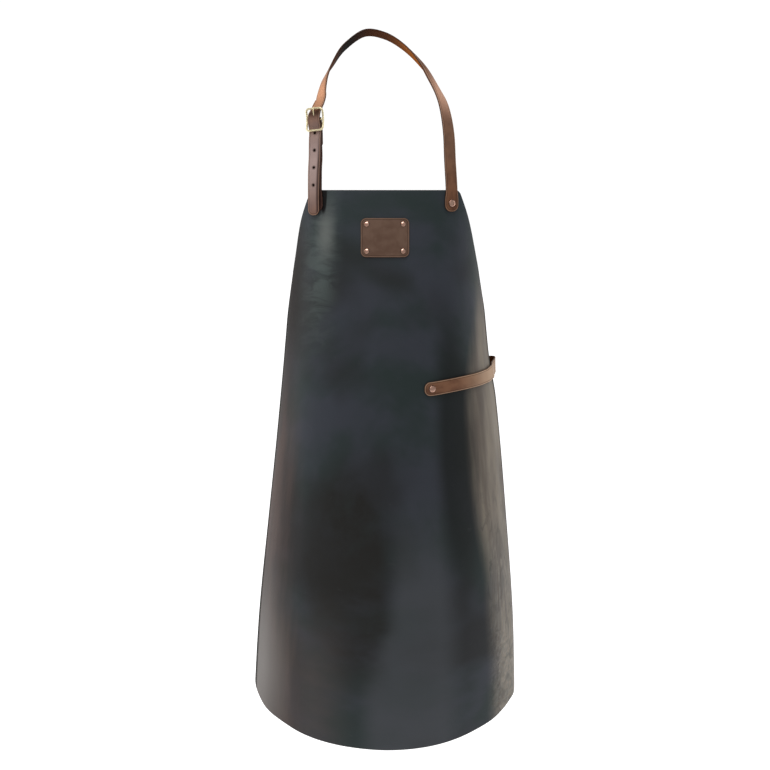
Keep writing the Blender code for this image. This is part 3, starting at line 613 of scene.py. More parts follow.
def buckle_strap_route(line):
    nodes = tab_nodes(-1)
    centre = BUCKLE_HEIGHT
    heights = [
        (centre * 0.30, FRONT_LAYER * 0.35),
        (centre - BAR_SPAN - FOLD_RETURN, FRONT_LAYER),
        (centre - BAR_SPAN - FOLD_RETURN * 0.3, FRONT_LAYER),
        (centre - BAR_SPAN, FRONT_LAYER),
        (centre - FOLD_RADIUS * 2.4, (FRONT_LAYER + 2 * (CENTRE_BAR_AHEAD + FOLD_RADIUS)) / 3),
    ]
    heights += [
        (centre + FOLD_RADIUS * math.sin(swing), CENTRE_BAR_AHEAD + FOLD_RADIUS * math.cos(swing))
        for swing in (math.radians(30 * i) for i in range(7))
    ]
    heights += [
        (centre - FOLD_RADIUS * 2.4, (BACK_LAYER + 2 * (CENTRE_BAR_AHEAD - FOLD_RADIUS)) / 3),
        (centre - BAR_SPAN, BACK_LAYER),
        (centre - BAR_SPAN - FOLD_RETURN * 0.3, BACK_LAYER),
        (centre - BAR_SPAN - FOLD_RETURN * 0.55, BACK_LAYER),
    ]
    nodes += [Node(line.point(height, ahead), line.across) for height, ahead in heights]
    return Route(nodes)


def axis_matrix(point, axis, side=None):
    """A frame at a point with its Z along axis and, where given, its X near side."""
    z = axis.normalized()
    near = side if side else (Vector((1, 0, 0)) if abs(z.x) < 0.9 else Vector((0, 0, 1)))
    x = (near - z * near.dot(z)).normalized()
    turned = Matrix((x, z.cross(x), z)).transposed().to_4x4()
    return Matrix.Translation(point) @ turned


def vectors(mesh, title, key="vector", width=3):
    values = np.empty(len(mesh.vertices) * width, np.float32)
    mesh.attributes[title].data.foreach_get(key, values)
    return values.reshape(-1, width)


def punch(item, cutters):
    """Cuts holes in a strap, keeps the cut mesh and carries the strap's marks on to the rims."""
    before = vectors(item.data, "position")
    strip, face = vectors(item.data, "strip"), vectors(item.data, "face", "value", 1)
    tree = KDTree(len(before))
    for index, corner in enumerate(before):
        tree.insert(corner, index)
    tree.balance()
    for cutter in cutters:
        modifier = item.modifiers.new("hole", "BOOLEAN")
        modifier.operation = "DIFFERENCE"
        modifier.solver = "EXACT"
        modifier.object = cutter
    graph = bpy.context.evaluated_depsgraph_get()
    mesh = bpy.data.meshes.new_from_object(item.evaluated_get(graph))
    item.modifiers.clear()
    item.data = mesh
    new_strip, new_face = np.empty((len(mesh.vertices), 3)), np.empty(len(mesh.vertices))
    for index, corner in enumerate(vectors(mesh, "position")):
        near = tree.find_n(corner, 6)
        sides = [number for _, number, _ in near]
        weights = np.array([1 / (gap + 1e-6) ** 2 for _, _, gap in near])
        weights /= weights.sum()
        new_strip[index] = weights @ strip[sides]
        new_face[index] = face[sides[0], 0]
    mesh.attributes["strip"].data.foreach_set("vector", new_strip.astype(np.float32).ravel())
    mesh.attributes["face"].data.foreach_set("value", new_face.astype(np.float32))
    mesh.shade_smooth()
    mesh.set_sharp_from_angle(angle=math.radians(50))
    for cutter in cutters:
        bpy.data.objects.remove(cutter, do_unlink=True)


def round_punch(point, axis, radius, depth):
    surface = bmesh.new()
    bmesh.ops.create_cone(
        surface, cap_ends=True, segments=32, radius1=radius, radius2=radius, depth=depth,
        matrix=axis_matrix(point, axis),
    )
    return show("punch", mesh_from("punch", surface))


def tongue_points(line):
    hook = BUCKLE_WIRE + GAP + TONGUE_WIRE
    rest = END_BARS_AHEAD + BUCKLE_WIRE + GAP + TONGUE_WIRE
    heights = [
        (hook * math.sin(swing), CENTRE_BAR_AHEAD + hook * math.cos(swing))
        for swing in (math.radians(120 + 24 * i) for i in range(10))
    ]
    heights += [
        (hook * 0.7, CENTRE_BAR_AHEAD + hook * 1.02),
        (TONGUE_HEIGHT * 0.80, CENTRE_BAR_AHEAD + hook + 0.45 * (rest - CENTRE_BAR_AHEAD - hook)),
        (TONGUE_HEIGHT * 1.35, rest - 0.10 * (rest - CENTRE_BAR_AHEAD)),
        (BAR_SPAN * 0.80, rest),
        (BAR_SPAN + BUCKLE_WIRE * 1.2, rest),
    ]
    return [line.point(BUCKLE_HEIGHT + height, ahead) for height, ahead in heights]


def make_neck_strap(line, route, holes, material):
    tips = (TAB_WIDTH / 2 * TIP_ROUND, NECK_STRAP_WIDTH / 2 * TIP_ROUND)
    over_bar = route.distance_to(line.point(BUCKLE_HEIGHT, OVER_CENTRE))
    fine = [(over_bar, BUCKLE_LENGTH * 0.7, 0.0008)]

    def cup(places):
        return SHOULDER_CUP * np.exp(-((places - SHOULDER_PLACE) / SHOULDER_REACH) ** 2)

    strap = make_strap(
        "neck_strap_leather", route, tab_width, tips, STRAP_THICKNESS, material, fine, cup,
    )
    tongue = tongue_points(line)
    entry, leaving = tongue[-4], tongue[-2]
    cutters = [round_punch((entry + leaving) / 2, leaving - entry, TONGUE_HOLE, BUCKLE_LENGTH * 0.42)]
    for hole in holes:
        points, _, faces = route.at([hole])
        cutters.append(round_punch(Vector(points[0]), Vector(faces[0]), HOLE_RADIUS, PUNCH_DEPTH))
    punch(strap, cutters)
    return strap


def make_buckle_strap(line, material):
    route = buckle_strap_route(line)
    tips = (TAB_WIDTH / 2 * TIP_ROUND, NECK_STRAP_WIDTH / 4)
    top = route.distance_to(line.point(BUCKLE_HEIGHT + FOLD_RADIUS, CENTRE_BAR_AHEAD))
    fine = [(top, math.pi * FOLD_RADIUS, 0.0004)]
    strap = make_strap(
        "buckle_strap_leather", route, tab_width, tips, BUCKLE_STRAP_THICKNESS, material, fine,
    )
    slot = bmesh.new()
    bmesh.ops.create_cube(slot, size=1.0)
    mesh = mesh_from("slot", slot)
    mesh.transform(Matrix.Diagonal((
        2 * (TONGUE_WIRE + 2 * GAP), 4 * FOLD_RADIUS, 4 * FOLD_RADIUS, 1.0,
    )))
    cutter = show("slot", mesh)
    cutter.matrix_world = axis_matrix(line.point(BUCKLE_HEIGHT, CENTRE_BAR_AHEAD), line.up, line.across)
    punch(strap, [cutter])
    return strap


def towel_nodes():
    share = np.linspace(0.0, 1.0, 33)
    angle = np.radians(TOWEL_FRONT_ANGLE + (TOWEL_REAR_ANGLE - TOWEL_FRONT_ANGLE) * share)
    drop = TOWEL_DROP - TOWEL_STRAP_WIDTH * eased(TOWEL_ROWS, 2, share) / BODY_LENGTH
    stand_off = np.maximum(eased(TOWEL_ROWS, 1, share), 0.0)
    lift = LEATHER / 2 + GAP + STRAP_THICKNESS / 2 + TOWEL_STAND_OFF * stand_off
    points, normals, across, up = hide_frames(angle, drop)
    points = points + normals * lift[:, None]
    upright = unit(up + (np.array([0.0, 0.0, 1.0]) - up) * np.minimum(stand_off, 1.0)[:, None])
    nodes = [Node(Vector(p), -Vector(u)) for p, u in zip(points, upright)]
    first = Node(nodes[0].point - Vector(across[0]) * TOWEL_END, nodes[0].across)
    last = Node(nodes[-1].point + Vector(across[-1]) * TOWEL_END, nodes[-1].across)
    rivets = [(Vector(points[i] - normals[i] * lift[i]), Vector(normals[i])) for i in (0, -1)]
    return [first, *nodes, last], rivets


def make_towel_strap(material):
    nodes, rivets = towel_nodes()
    route = Route(nodes, steps=8)
    tip = TOWEL_STRAP_WIDTH / 2 * TIP_ROUND
    strap = make_strap(
        "towel_strap_leather", route, lambda place: TOWEL_STRAP_WIDTH, (tip, tip), STRAP_THICKNESS, material,
    )
    return strap, rivets


# Patch

def make_patch(material):
    half_width = PATCH_WIDTH / 2
    half_height = PATCH_HEIGHT / 2
    down = spread(PATCH_CORNER, PATCH_HEIGHT, 34)
    down = np.unique(np.concatenate([down, PATCH_CORNER * (1 - np.cos(np.linspace(0, math.pi / 2, 12)))]))
    down = np.unique(np.concatenate([down, PATCH_HEIGHT - down]))
    half = half_width - corner_inset(down, PATCH_CORNER) - corner_inset(PATCH_HEIGHT - down, PATCH_CORNER)
    shares = mirrored([*np.linspace(0, 0.93, 24), *PATCH_EDGE_SHARES])
    x = half[:, None] * shares
    z = (half_height - down)[:, None] * np.ones_like(x)
    outer = np.hypot(
        np.maximum(np.abs(x) - half_width + PATCH_CORNER, 0.0),
        np.maximum(np.abs(z) - half_height + PATCH_CORNER, 0.0),
    )
    inner = np.minimum(np.maximum(
        np.abs(x) - half_width + PATCH_CORNER, np.abs(z) - half_height + PATCH_CORNER,
    ), 0.0)
    gap = np.maximum(PATCH_CORNER - outer - inner, 0.0)
    gap[0] = gap[-1] = gap[:, 0] = gap[:, -1] = 0.0
    body = rounded(gap, PATCH_THICKNESS)
    groove = GROOVE_DEPTH * np.exp(-((gap - GROOVE_IN) / GROOVE_WIDTH) ** 2)
    front = np.where(gap > 0, np.maximum(body - groove, 0.0), 0.0)
    drop = PATCH_DROP - z / BODY_LENGTH
    points, normals, _, _ = hide_frames(angle_at(x, drop), drop)
    points = points + normals * (LEATHER / 2 + GAP + PATCH_THICKNESS / 2)
    marks = {"strip": np.stack([z, x, gap], axis=-1)}
    return slab("patch_leather", points, normals, front, body, marks, material)


# Metal

def turned(name, base, normal, profile, material, sides=48):
    """A turned piece: (radius, height) pairs spun round the normal at a base point. Its ring
    attribute is the share of its greatest radius."""
    surface = bmesh.new()
    widest = max(radius for radius, _ in profile)
    ring_share = surface.verts.layers.float.new("ring")
    rings = []
    for radius, height in profile:
        if radius < 1e-6:
            rings.append([surface.verts.new((0.0, 0.0, height))])
            continue
        swings = [2 * math.pi * i / sides for i in range(sides)]
        places = [(radius * math.cos(swing), radius * math.sin(swing), height) for swing in swings]
        rings.append([surface.verts.new(place) for place in places])
    for ring, following in zip(rings, rings[1:]):
        for i in range(sides):
            j = (i + 1) % sides
            corners = [ring[i % len(ring)], ring[j % len(ring)]]
            corners += [following[j % len(following)], following[i % len(following)]]
            unique = list(dict.fromkeys(corners))
            if len(unique) > 2:
                surface.faces.new(unique)
    bmesh.ops.recalc_face_normals(surface, faces=surface.faces)
    for corner in surface.verts:
        corner[ring_share] = corner.co.xy.length / widest
    surface.transform(axis_matrix(base, normal))
    mesh = mesh_from(name, surface)
    mesh.shade_smooth()
    mesh.set_sharp_from_angle(angle=math.radians(40))
    mesh.materials.append(material)
    return show(name, mesh)


def make_rivet(name, base, normal, front, back, cap, post, material):
    """A domed rivet with a rolled rim, its post and the washer behind."""
    radius, height = cap
    top = front + GAP * 0.3
    foot = back - GAP * 0.3
    washer = radius * WASHER_SHARE
    rim = height * 0.34
    swings = [math.pi / 2 * i / 14 for i in range(15)]
    dome = [(radius * 0.93 * math.sin(s), top + rim + (height - rim) * math.cos(s)) for s in swings]
    rolled = [
        (radius * (0.955 + 0.045 * math.cos(s)), top + rim * (0.5 + 0.5 * math.sin(s)))
        for s in (math.radians(90 - 30 * i) for i in range(7))
    ]
    profile = [*dome, *rolled, (post, top), (post, foot), (washer, foot)]
    burr = ((washer, 0.6), (washer * 0.88, 1.0), (post * 1.1, 1.0), (post * 0.9, 1.2), (0.0, 1.25))
    profile += [(reach, foot - WASHER_HEIGHT * share) for reach, share in burr]
    return turned(name, base, normal, profile, material)


def wire(name, points, radius, closed, material):
    """A round wire through points."""
    curve = bpy.data.curves.new(name, "CURVE")
    curve.dimensions = "3D"
    curve.bevel_depth = radius
    curve.bevel_resolution = 7
    curve.use_fill_caps = not closed
    spline = curve.splines.new("POLY")
    spline.points.add(len(points) - 1)
    for place, point in zip(spline.points, points):
        place.co = (*point, 1.0)
    spline.use_cyclic_u = closed
    guide = show(name + "_guide", curve)
    graph = bpy.context.evaluated_depsgraph_get()
    mesh = bpy.data.meshes.new_from_object(guide.evaluated_get(graph))
    bpy.data.objects.remove(guide, do_unlink=True)
    close_up(mesh, 1e-6)
    mesh.materials.clear()
    mesh.materials.append(material)
    return show(name, mesh)


def buckle_outline(line):
    half_width = BUCKLE_WIDTH / 2 - BUCKLE_WIRE
    points = []
    for x_side, y_side, start in [(1, 1, 0), (-1, 1, 90), (-1, -1, 180), (1, -1, 270)]:
        centre_x = x_side * (half_width - BUCKLE_CORNER)
        centre_y = y_side * (BAR_SPAN - BUCKLE_CORNER)
        for step in range(13):
            swing = math.radians(start + 7.5 * step)
            x = centre_x + BUCKLE_CORNER * math.cos(swing)
            points.append((x, centre_y + BUCKLE_CORNER * math.sin(swing)))
        if y_side * x_side < 0:
            rail = x_side * half_width
            points += [(rail, centre_y - 2 * centre_y * i / 16) for i in range(1, 16)]
    return [
        line.point(BUCKLE_HEIGHT + y, CENTRE_BAR_AHEAD + BUCKLE_BOW * min(abs(y) / BAR_SPAN, 1.0) ** 2, x)
        for x, y in points
    ]


def make_buckle(line, material):
    frame = wire("buckle_brass", buckle_outline(line), BRASS_WIRE, True, material)
    reach = BUCKLE_WIDTH / 2 - BUCKLE_WIRE
    ends = [line.point(BUCKLE_HEIGHT, CENTRE_BAR_AHEAD, side * reach) for side in (-1, 1)]
    bar = wire("buckle_bar", ends, BUCKLE_WIRE * 0.97, False, material)
    guide = Route([Node(point, line.across) for point in tongue_points(line)], steps=6)
    tongue = wire("tongue_brass", [Vector(p) for p in guide.points], TONGUE_WIRE, False, material)
    return frame, bar, tongue


# Shading

class Value:
    """A shader socket that takes part in Python expressions."""

    def __init__(self, tree, socket):
        self.tree = tree
        self.socket = socket

    def combine(self, operation, *values):
        """One step of maths: Math on numbers, Vector Math where a vector takes part."""
        if all(is_number(value) for value in values):
            return self.tree.node("ShaderNodeMath", {"operation": operation}, *values)
        if operation == "MULTIPLY":
            for one, other in (values, values[::-1]):
                if is_number(other):
                    return self.tree.node("ShaderNodeVectorMath", {"operation": "SCALE"}, one, Scale=other)
        return self.tree.node("ShaderNodeVectorMath", {"operation": operation}, *values)

    def __add__(self, other):
        return self.combine("ADD", self, other)

    __radd__ = __add__

    def __sub__(self, other):
        return self.combine("SUBTRACT", self, other)

    def __rsub__(self, other):
        return self.combine("SUBTRACT", other, self)

    def __mul__(self, other):
        return self.combine("MULTIPLY", self, other)

    __rmul__ = __mul__

    def part(self, index):
        return self.tree.node("ShaderNodeSeparateXYZ", {}, self, output="XYZ"[index])

    def size(self):
        """The number without its sign."""
        return self.combine("ABSOLUTE", self)

    def band(self, low, high):
        """0 under low, 1 over high, smooth between."""
        return self.tree.node(
            "ShaderNodeMapRange", {"interpolation_type": "SMOOTHSTEP"}, self, low, high, 0.0, 1.0,
        )

    def hump(self, middle, reach):
        """1 at middle, falling smoothly to 0 at reach on either side."""
        return 1 - (self - middle).size().band(0.0, reach)


def is_number(value):
    """Whether a value is one number, plain or carried by a socket."""
    if isinstance(value, Value):
        return value.socket.type == "VALUE"
    return isinstance(value, (int, float))


def tone(red, green, blue):
    """A screen colour, 0 to 255, as the shader's linear one."""
    def linear(level):
        level = level / 255
        return level / 12.92 if level <= 0.04045 else ((level + 0.055) / 1.055) ** 2.4
    return (linear(red), linear(green), linear(blue))


def set_stops(ramp, stops):
    """(position, brightness) pairs as a grey ramp's elements."""
    while len(ramp.elements) < len(stops):
        ramp.elements.new(0.5)
    for element, (position, brightness) in zip(ramp.elements, stops):
        element.position = position
        element.color = (brightness, brightness, brightness, 1.0)


class Tree:
    """The nodes of a material or a world. node() adds one and gives one of its outputs."""

    def __init__(self, owner, shader="Principled BSDF"):
        owner.use_nodes = True
        self.owner = owner
        self.tree = owner.node_tree
        self.shader = self.tree.nodes[shader]

    def put(self, socket, value):
        if isinstance(value, Value):
            self.tree.links.new(value.socket, socket)
        elif isinstance(value, tuple) and socket.type == "RGBA":
            socket.default_value = (*value, 1.0)
        else:
            socket.default_value = value

    def node(self, kind, settings, *values, output=None, **named):
        made = self.tree.nodes.new(kind)
        for key, value in settings.items():
            if key == "stops":
                set_stops(made.color_ramp, value)
            else:
                setattr(made, key, value)
        for socket, value in zip([socket for socket in made.inputs if socket.enabled], values):
            self.put(socket, value)
        for name, value in named.items():
            self.put(made.inputs[name.replace("_", " ")], value)
        shown = [socket for socket in made.outputs if socket.enabled]
        return Value(self, made.outputs[output] if output else shown[0])

    def attribute(self, name, output="Vector"):
        return self.node("ShaderNodeAttribute", {"attribute_name": name}, output=output)

    def noise(self, where, scale, detail=3.0, roughness=0.55, distortion=0.0):
        return self.node(
            "ShaderNodeTexNoise", {}, where, Scale=scale, Detail=detail, Roughness=roughness,
            Distortion=distortion,
        )

    def mix(self, first, second, share):
        """From the first colour to the second. A plain one is given as on a screen."""
        first, second = (tone(*colour) if isinstance(colour, tuple) else colour for colour in (first, second))
        return self.node("ShaderNodeMix", {"data_type": "RGBA", "clamp_factor": True}, share, first, second)

    def coats(self, base, *layers):
        """A colour with others laid over it in turn, each a (colour, share) pair."""
        for colour, share in layers:
            base = self.mix(base, colour, share)
        return base

    def bump(self, height, distance, strength, **under):
        return self.node("ShaderNodeBump", {}, Height=height, Distance=distance, Strength=strength, **under)

    def set(self, **values):
        for name, value in values.items():
            self.put(self.shader.inputs[name.replace("_", " ")], value)
        return self.owner


def tree_named(name):
    return Tree(bpy.data.materials.new(name))


def hide_leather():
    tree = tree_named("hide_leather")
    flat = tree.attribute("flat")
    place = tree.attribute("place")
    front = tree.attribute("face", "Fac")
    turn, drop, angle = (place.part(index) for index in range(3))
    leftward = 0 - turn

    # Dye: blue-black with teal and violet clouds and a darker lower middle, with a painted sheen band and
    # painted shade laid over it
    clouds = tree.noise(flat, 9.0, 3.0, 0.5)
    tints = tree.noise(flat + (3.1, 1.7, 0.0), 5.0, 2.0, 0.5)
    blotches = tree.noise(flat + (0.0, 5.3, 0.0), 15.0, 3.0, 0.6)
    # A lighter blue-grey band right of the middle, low down: a painted sheen
    sheen_band_start = (turn - 0.24 + 0.22 * drop.band(0.66, 0.90)).band(-0.26, -0.06)
    sheen_band = sheen_band_start * (1 - turn.band(0.40, 0.62)) * drop.band(0.50, 0.72)
    belly = (turn + 0.14 + 0.30 * tints).hump(0.0, 0.48) * drop.hump(0.67, 0.30)
    # Lighter blotches low on the left front: part the leather's own colour, part painted sheen
    skirt = turn.hump(-0.54, 0.36) * drop.band(0.68, 0.86)
    # Painted shade beside the lighter right flank
    shade = turn.hump(0.62, 0.26) * drop.hump(0.46, 0.40)
    dye = tree.coats(
        tree.mix((41, 53, 53), (57, 61, 70), clouds.band(0.34, 0.64)),
        ((34, 35, 36), tints.band(0.46, 0.66) * 0.85),
        ((74, 77, 82), sheen_band * (0.60 + 0.35 * clouds)),
        ((30, 29, 27), (belly * 2.0).band(0.0, 1.0) * (0.25 + 1.2 * blotches)),
        ((74, 68, 66), skirt * (0.20 + blotches)),
        ((14, 20, 20), (shade * 1.4).band(0.0, 1.0) * 0.85),
    )

    # Where the hide turns round the hips: tan streaks right, mauve brown left, part wax drawn off and part
    # painted sheen from the side lamps
    streaks = tree.noise(place * (1.0, 0.42, 0.0), 9.0, 3.0, 0.6)
    hairlines = tree.noise(flat * (1.0, 0.05, 1.0), 190.0, 3.0, 0.6)
    torn = tree.noise(flat * (1.0, 0.4, 1.0), 60.0, 4.0, 0.65, 0.8)
    waver = 0.03 * (streaks - 0.5)
    right_start = 0.96 - 0.24 * drop.band(0.10, 0.40) + 0.07 * drop.band(0.52, 0.70)
    right = (turn - right_start + waver).band(-0.05, 0.10) * drop.band(0.07, 0.24)
    left_start = 0.98 - 0.24 * drop.band(0.14, 0.55) - 0.12 * drop.band(0.70, 0.86)
    left = (leftward - left_start + waver).band(-0.10, 0.20) * drop.band(0.04, 0.20)
    tan = tree.coats(
        tree.mix((102, 92, 83), (144, 133, 118), streaks.band(0.32, 0.68)),
        ((126, 121, 113), drop.band(0.55, 0.75) * hairlines.band(0.35, 0.65)),
        ((84, 78, 72), torn.band(0.50, 0.64) * drop.band(0.42, 0.66) * 0.55),
        ((162, 154, 142), (1 - torn).band(0.52, 0.66) * drop.band(0.50, 0.75) * 0.5),
    )
    mauve = tree.coats(
        tree.mix((52, 34, 28), (78, 56, 48), streaks.band(0.36, 0.66)),
        # Lighter grey low on the left flank: a painted sheen
        ((128, 122, 118), drop.hump(0.88, 0.26) * leftward.band(0.62, 0.92) * 0.9),
    )
    # Painted shade high on the left flank
    left_flank_shade = leftward.band(0.74, 0.96) * drop.hump(0.20, 0.26)
    # A painted dark outline where the hide turns away from the front
    rim = angle.size().band(1.35, 1.43)

    # Fine curved wrinkles below the buckle strap with a painted sheen on them, a painted highlight above
    # them, the strap's painted shadow on the hide beside it, scuffs and the cut edge
    shoulder = turn.hump(-0.66, 0.26) * drop.hump(0.10, 0.23)
    wrinkles = tree.noise(flat * (1.0, 3.0, 1.0), 17.0, 3.0, 0.6, 0.9)
    # A painted highlight on the left shoulder
    shoulder_highlight = turn.hump(-0.62, 0.14) * drop.hump(0.07, 0.07)
    # The neck strap's painted shadow on the hide
    painted_lee_shade = turn.hump(-0.655, 0.042) * drop.hump(0.014, 0.034)
    scuffs = tree.noise(flat * (1.0, 1.6, 1.0), 34.0, 6.0, 0.7, 1.2).band(0.62, 0.80)
    cut = 1 - flat.part(2).band(0.0004, 0.0014)
    dye = tree.coats(
        dye,
        (tan, right * 0.92),
        (mauve, left * 0.92),
        ((30, 22, 18), left_flank_shade * 0.85),
        ((14, 14, 14), rim * 0.9),
        # Painted sheen on the shoulder wrinkles
        ((86, 96, 94), shoulder * (0.30 + wrinkles.band(0.36, 0.66) * 0.6)),
        ((122, 126, 122), shoulder_highlight * 0.7),
        ((6, 6, 6), (painted_lee_shade * 2.5).band(0.0, 1.0)),
        ((84, 88, 90), scuffs * 0.22),
        ((22, 20, 19), cut),
    )
    suede = tree.mix((66, 58, 52), (90, 80, 72), tree.noise(flat, 60.0, 4.0, 0.7))

    # Grain: fine pebbles in soft creases, with drawn lines where the hide bends
    pebbles = tree.node("ShaderNodeTexVoronoi", {"feature": "SMOOTH_F1"}, flat, Scale=620.0, Smoothness=0.6)
    creases = tree.noise(flat, 210.0, 4.0, 0.65)
    drawn = tree.noise(flat * (0.35, 2.2, 1.0), 70.0, 4.0, 0.6)
    dents = tree.noise(flat, 13.0, 2.0, 0.5)
    grain = pebbles * 0.35 + creases * 0.55 + drawn * 0.25 + wrinkles * shoulder * 2.5
    normal = tree.bump(dents, 0.0016, 0.22, Normal=tree.bump(grain, 0.00028, 0.6))
    rough = 0.40 + 0.16 * creases + 0.10 * (1 - clouds) - 0.08 * shoulder * wrinkles
    rough = rough + cut * 0.1 + (1 - front) * 0.35 + rim * 0.5 + left_flank_shade * 0.12
    return tree.set(
        Base_Color=tree.mix(suede, dye, front), Roughness=rough, Normal=normal, Specular_IOR_Level=0.34,
    )


def strap_leather(name, deep, light, edge_highlight, holes=(), lengths=(), flesh_lengths=(), dim=None):
    """Bridle leather: waxed brown, with painted shade in its creases and round its holes and a painted edge
    highlight.
    lengths are (middle, reach, colour, share) of the stretches along the strap painted lighter or darker as
    light and shade, and dim is the (middle, reach) of the one with painted shade along one side."""
    tree = tree_named(name)
    strip = tree.attribute("strip")
    front = tree.attribute("face", "Fac")
    along = strip.part(0)
    gap = strip.part(2)
    fibre = tree.noise(strip * (0.25, 1.0, 1.0), 330.0, 4.0, 0.6)
    clouds = tree.noise(strip, 42.0, 3.0, 0.55)
    crease = gap.hump(CREASE_IN, 0.0008)

    def with_lengths(base, stretches):
        layers = [(colour, along.hump(middle, reach) * share) for middle, reach, colour, share in stretches]
        return tree.coats(base, *layers)

    grain = with_lengths(tree.mix(deep, light, clouds.band(0.32, 0.68)), lengths)
    # Painted shade along one side of the dim stretch
    if dim:
        painted_lee_shade = (0 - strip.part(1)).band(0.0030, 0.0085) * along.hump(*dim)
        grain = tree.mix(grain, (78, 54, 48), (painted_lee_shade * 1.5).band(0.0, 1.0) * 0.85)
    grain = tree.coats(
        grain,
        # A painted highlight along the rounded edges
        (edge_highlight, gap.hump(0.0011, 0.0010) * 0.65),
        # Painted shade in the creases
        ((50, 33, 26), crease * 0.7),
        ((52, 34, 27), (1 - gap.band(0.0002, 0.0007)) * 0.8),
    )
    flesh = with_lengths(tree.mix((70, 36, 14), (98, 52, 20), fibre), flesh_lengths)
    base = tree.mix(flesh, grain, front)
    # Painted shade round the punched holes
    for hole in holes:
        around = tree.node(
            "ShaderNodeVectorMath", {"operation": "DISTANCE"}, strip * (1.0, 1.0, 0.0), (hole, 0.0, 0.0),
            output="Value",
        )
        base = tree.mix(base, (40, 26, 21), (1 - around.band(HOLE_RADIUS, HOLE_RADIUS * 2.1)) * 0.6)
    normal = tree.bump(fibre * 0.5 + clouds, 0.0001, 0.35)
    rough = 0.36 + 0.2 * clouds + crease * 0.1 + (1 - front) * 0.50
    return tree.set(Base_Color=base, Roughness=rough, Normal=normal, Specular_IOR_Level=0.16)


def neck_leather(first, holes):
    """The neck strap's leather. first is how far along it the tongue goes through."""
    lengths = (
        # Stretches painted lighter where the strap turns toward the lamps, and a painted shadow where it goes
        # under the buckle's top bar
        (0.12, 0.10, (138, 110, 90), 0.35),
        (0.215, 0.075, (206, 160, 134), 0.9),
        (first - 0.050, 0.072, (236, 172, 132), 0.95),
        (first + 0.080, 0.115, (188, 164, 158), 0.9),
        (first - 0.004, 0.015, (56, 34, 24), 0.9),
    )
    # Flesh side: an orange stretch of painted light and a near-black one of painted shade
    flesh_lengths = ((0.295, 0.085, (176, 100, 34), 0.97), (0.465, 0.100, (9, 5, 3), 0.99))
    return strap_leather(
        "neck_leather", (98, 64, 48), (128, 88, 64), (172, 134, 110), holes, lengths, flesh_lengths,
        (first + 0.13, 0.14),
    )


def metal(name, bright, dull, roughness, metallic):
    """Polished metal that has been handled: faint scratches and a darker film in places."""
    tree = tree_named(name)
    where = tree.node("ShaderNodeTexCoord", {}, output="Object")
    ring = tree.attribute("ring", "Fac")
    film = tree.noise(where, 260.0, 3.0, 0.6)
    scratches = tree.noise(where * (1.0, 1.0, 6.0), 900.0, 3.0, 0.7)
    base = tree.coats(
        tree.mix(bright, dull, film.band(0.42, 0.75) * 0.7),
        # A darker ring near the rim: part tarnish, part painted shade of the crevice
        ((58, 34, 26), ring.band(0.78, 0.94) * 0.9),
    )
    normal = tree.bump(scratches, 0.00002, 0.2)
    return tree.set(Base_Color=base, Roughness=roughness + 0.12 * film, Normal=normal, Metallic=metallic)


# Studio

FLOOR_HEIGHT = -1.46
FLOOR_RADIUS = 14.0
LENS = 50.0
SENSOR = 36.0
PICTURE_SIDE = 770
LEVEL_ROW = 190.0
EYE_DISTANCE = 1.75
FOCAL_PIXELS = LENS * PICTURE_SIDE / SENSOR
EYE = Vector((0.0, -NECK_REACH - EYE_DISTANCE, -NECK_RISE))

# Brightness of the studio all round, by bearing
WALLS = [
    (0.00, 0.32), (0.20, 0.24), (0.30, 0.22), (0.42, 0.36), (0.445, 1.05), (0.555, 1.05), (0.58, 0.50),
    (0.70, 0.48), (0.78, 0.24), (1.00, 0.30),
]

Softbox = namedtuple("Softbox", "name place target size power")
SOFTBOXES = [
    Softbox("left_softbox", (-2.6, -0.1, 0.1), (0.0, -0.15, -0.6), (0.9, 2.2), 20.0),
    Softbox("right_softbox", (2.5, 0.6, 0.0), (0.0, -0.1, -0.6), (0.7, 2.2), 12.0),
    Softbox("front_softbox", (-0.7, -2.9, 1.5), (0.0, -0.2, -0.5), (2.4, 1.5), 24.0),
    Softbox("top_softbox", (0.2, -0.9, 1.6), (0.0, -0.15, -0.2), (1.3, 0.6), 14.0),
]


def make_camera():
    lens = bpy.data.cameras.new("camera")
    lens.lens = LENS
    lens.sensor_width = SENSOR
    lens.clip_end = 60.0
    camera = show("camera", lens)
    camera.location = EYE
    pitch = math.atan((PICTURE_SIDE / 2 - LEVEL_ROW) / FOCAL_PIXELS)
    camera.rotation_euler = (math.pi / 2 - pitch, 0.0, 0.0)
    bpy.context.scene.camera = camera


def make_softbox(box):
    light = bpy.data.lights.new(box.name, "AREA")
    light.shape = "RECTANGLE"
    light.size, light.size_y = box.size
    light.energy = box.power
    item = show(box.name, light)
    item.location = box.place
    item.rotation_euler = (Vector(box.target) - Vector(box.place)).to_track_quat("-Z", "Y").to_euler()


def make_studio():
    surface = bmesh.new()
    bmesh.ops.create_circle(surface, cap_ends=True, segments=96, radius=FLOOR_RADIUS)
    mesh = mesh_from("floor", surface)
    floor = show("floor", mesh)
    floor.location = (0.0, 0.0, FLOOR_HEIGHT)
    floor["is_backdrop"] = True
    tree = tree_named("floor_paper")
    glow = tree.node("ShaderNodeTexCoord", {}, output="Object").part(1).band(-1.2, 0.4)
    mesh.materials.append(tree.set(
        Base_Color=(0.55, 0.55, 0.55), Roughness=0.9, Emission_Color=glow, Emission_Strength=1.0,
    ))

    world = bpy.data.worlds.new("studio")
    bpy.context.scene.world = world
    tree = Tree(world, "Background")
    toward = tree.node("ShaderNodeTexCoord", {}, output="Generated")
    bearing = toward.combine("ARCTAN2", toward.part(0), toward.part(1))
    level = tree.node("ShaderNodeMapRange", {}, bearing, -math.pi, math.pi)
    tree.set(Color=tree.node("ShaderNodeValToRGB", {"stops": WALLS}, level), Strength=1.0)

    for box in SOFTBOXES:
        make_softbox(box)
    bpy.context.scene.view_settings.view_transform = "Standard"


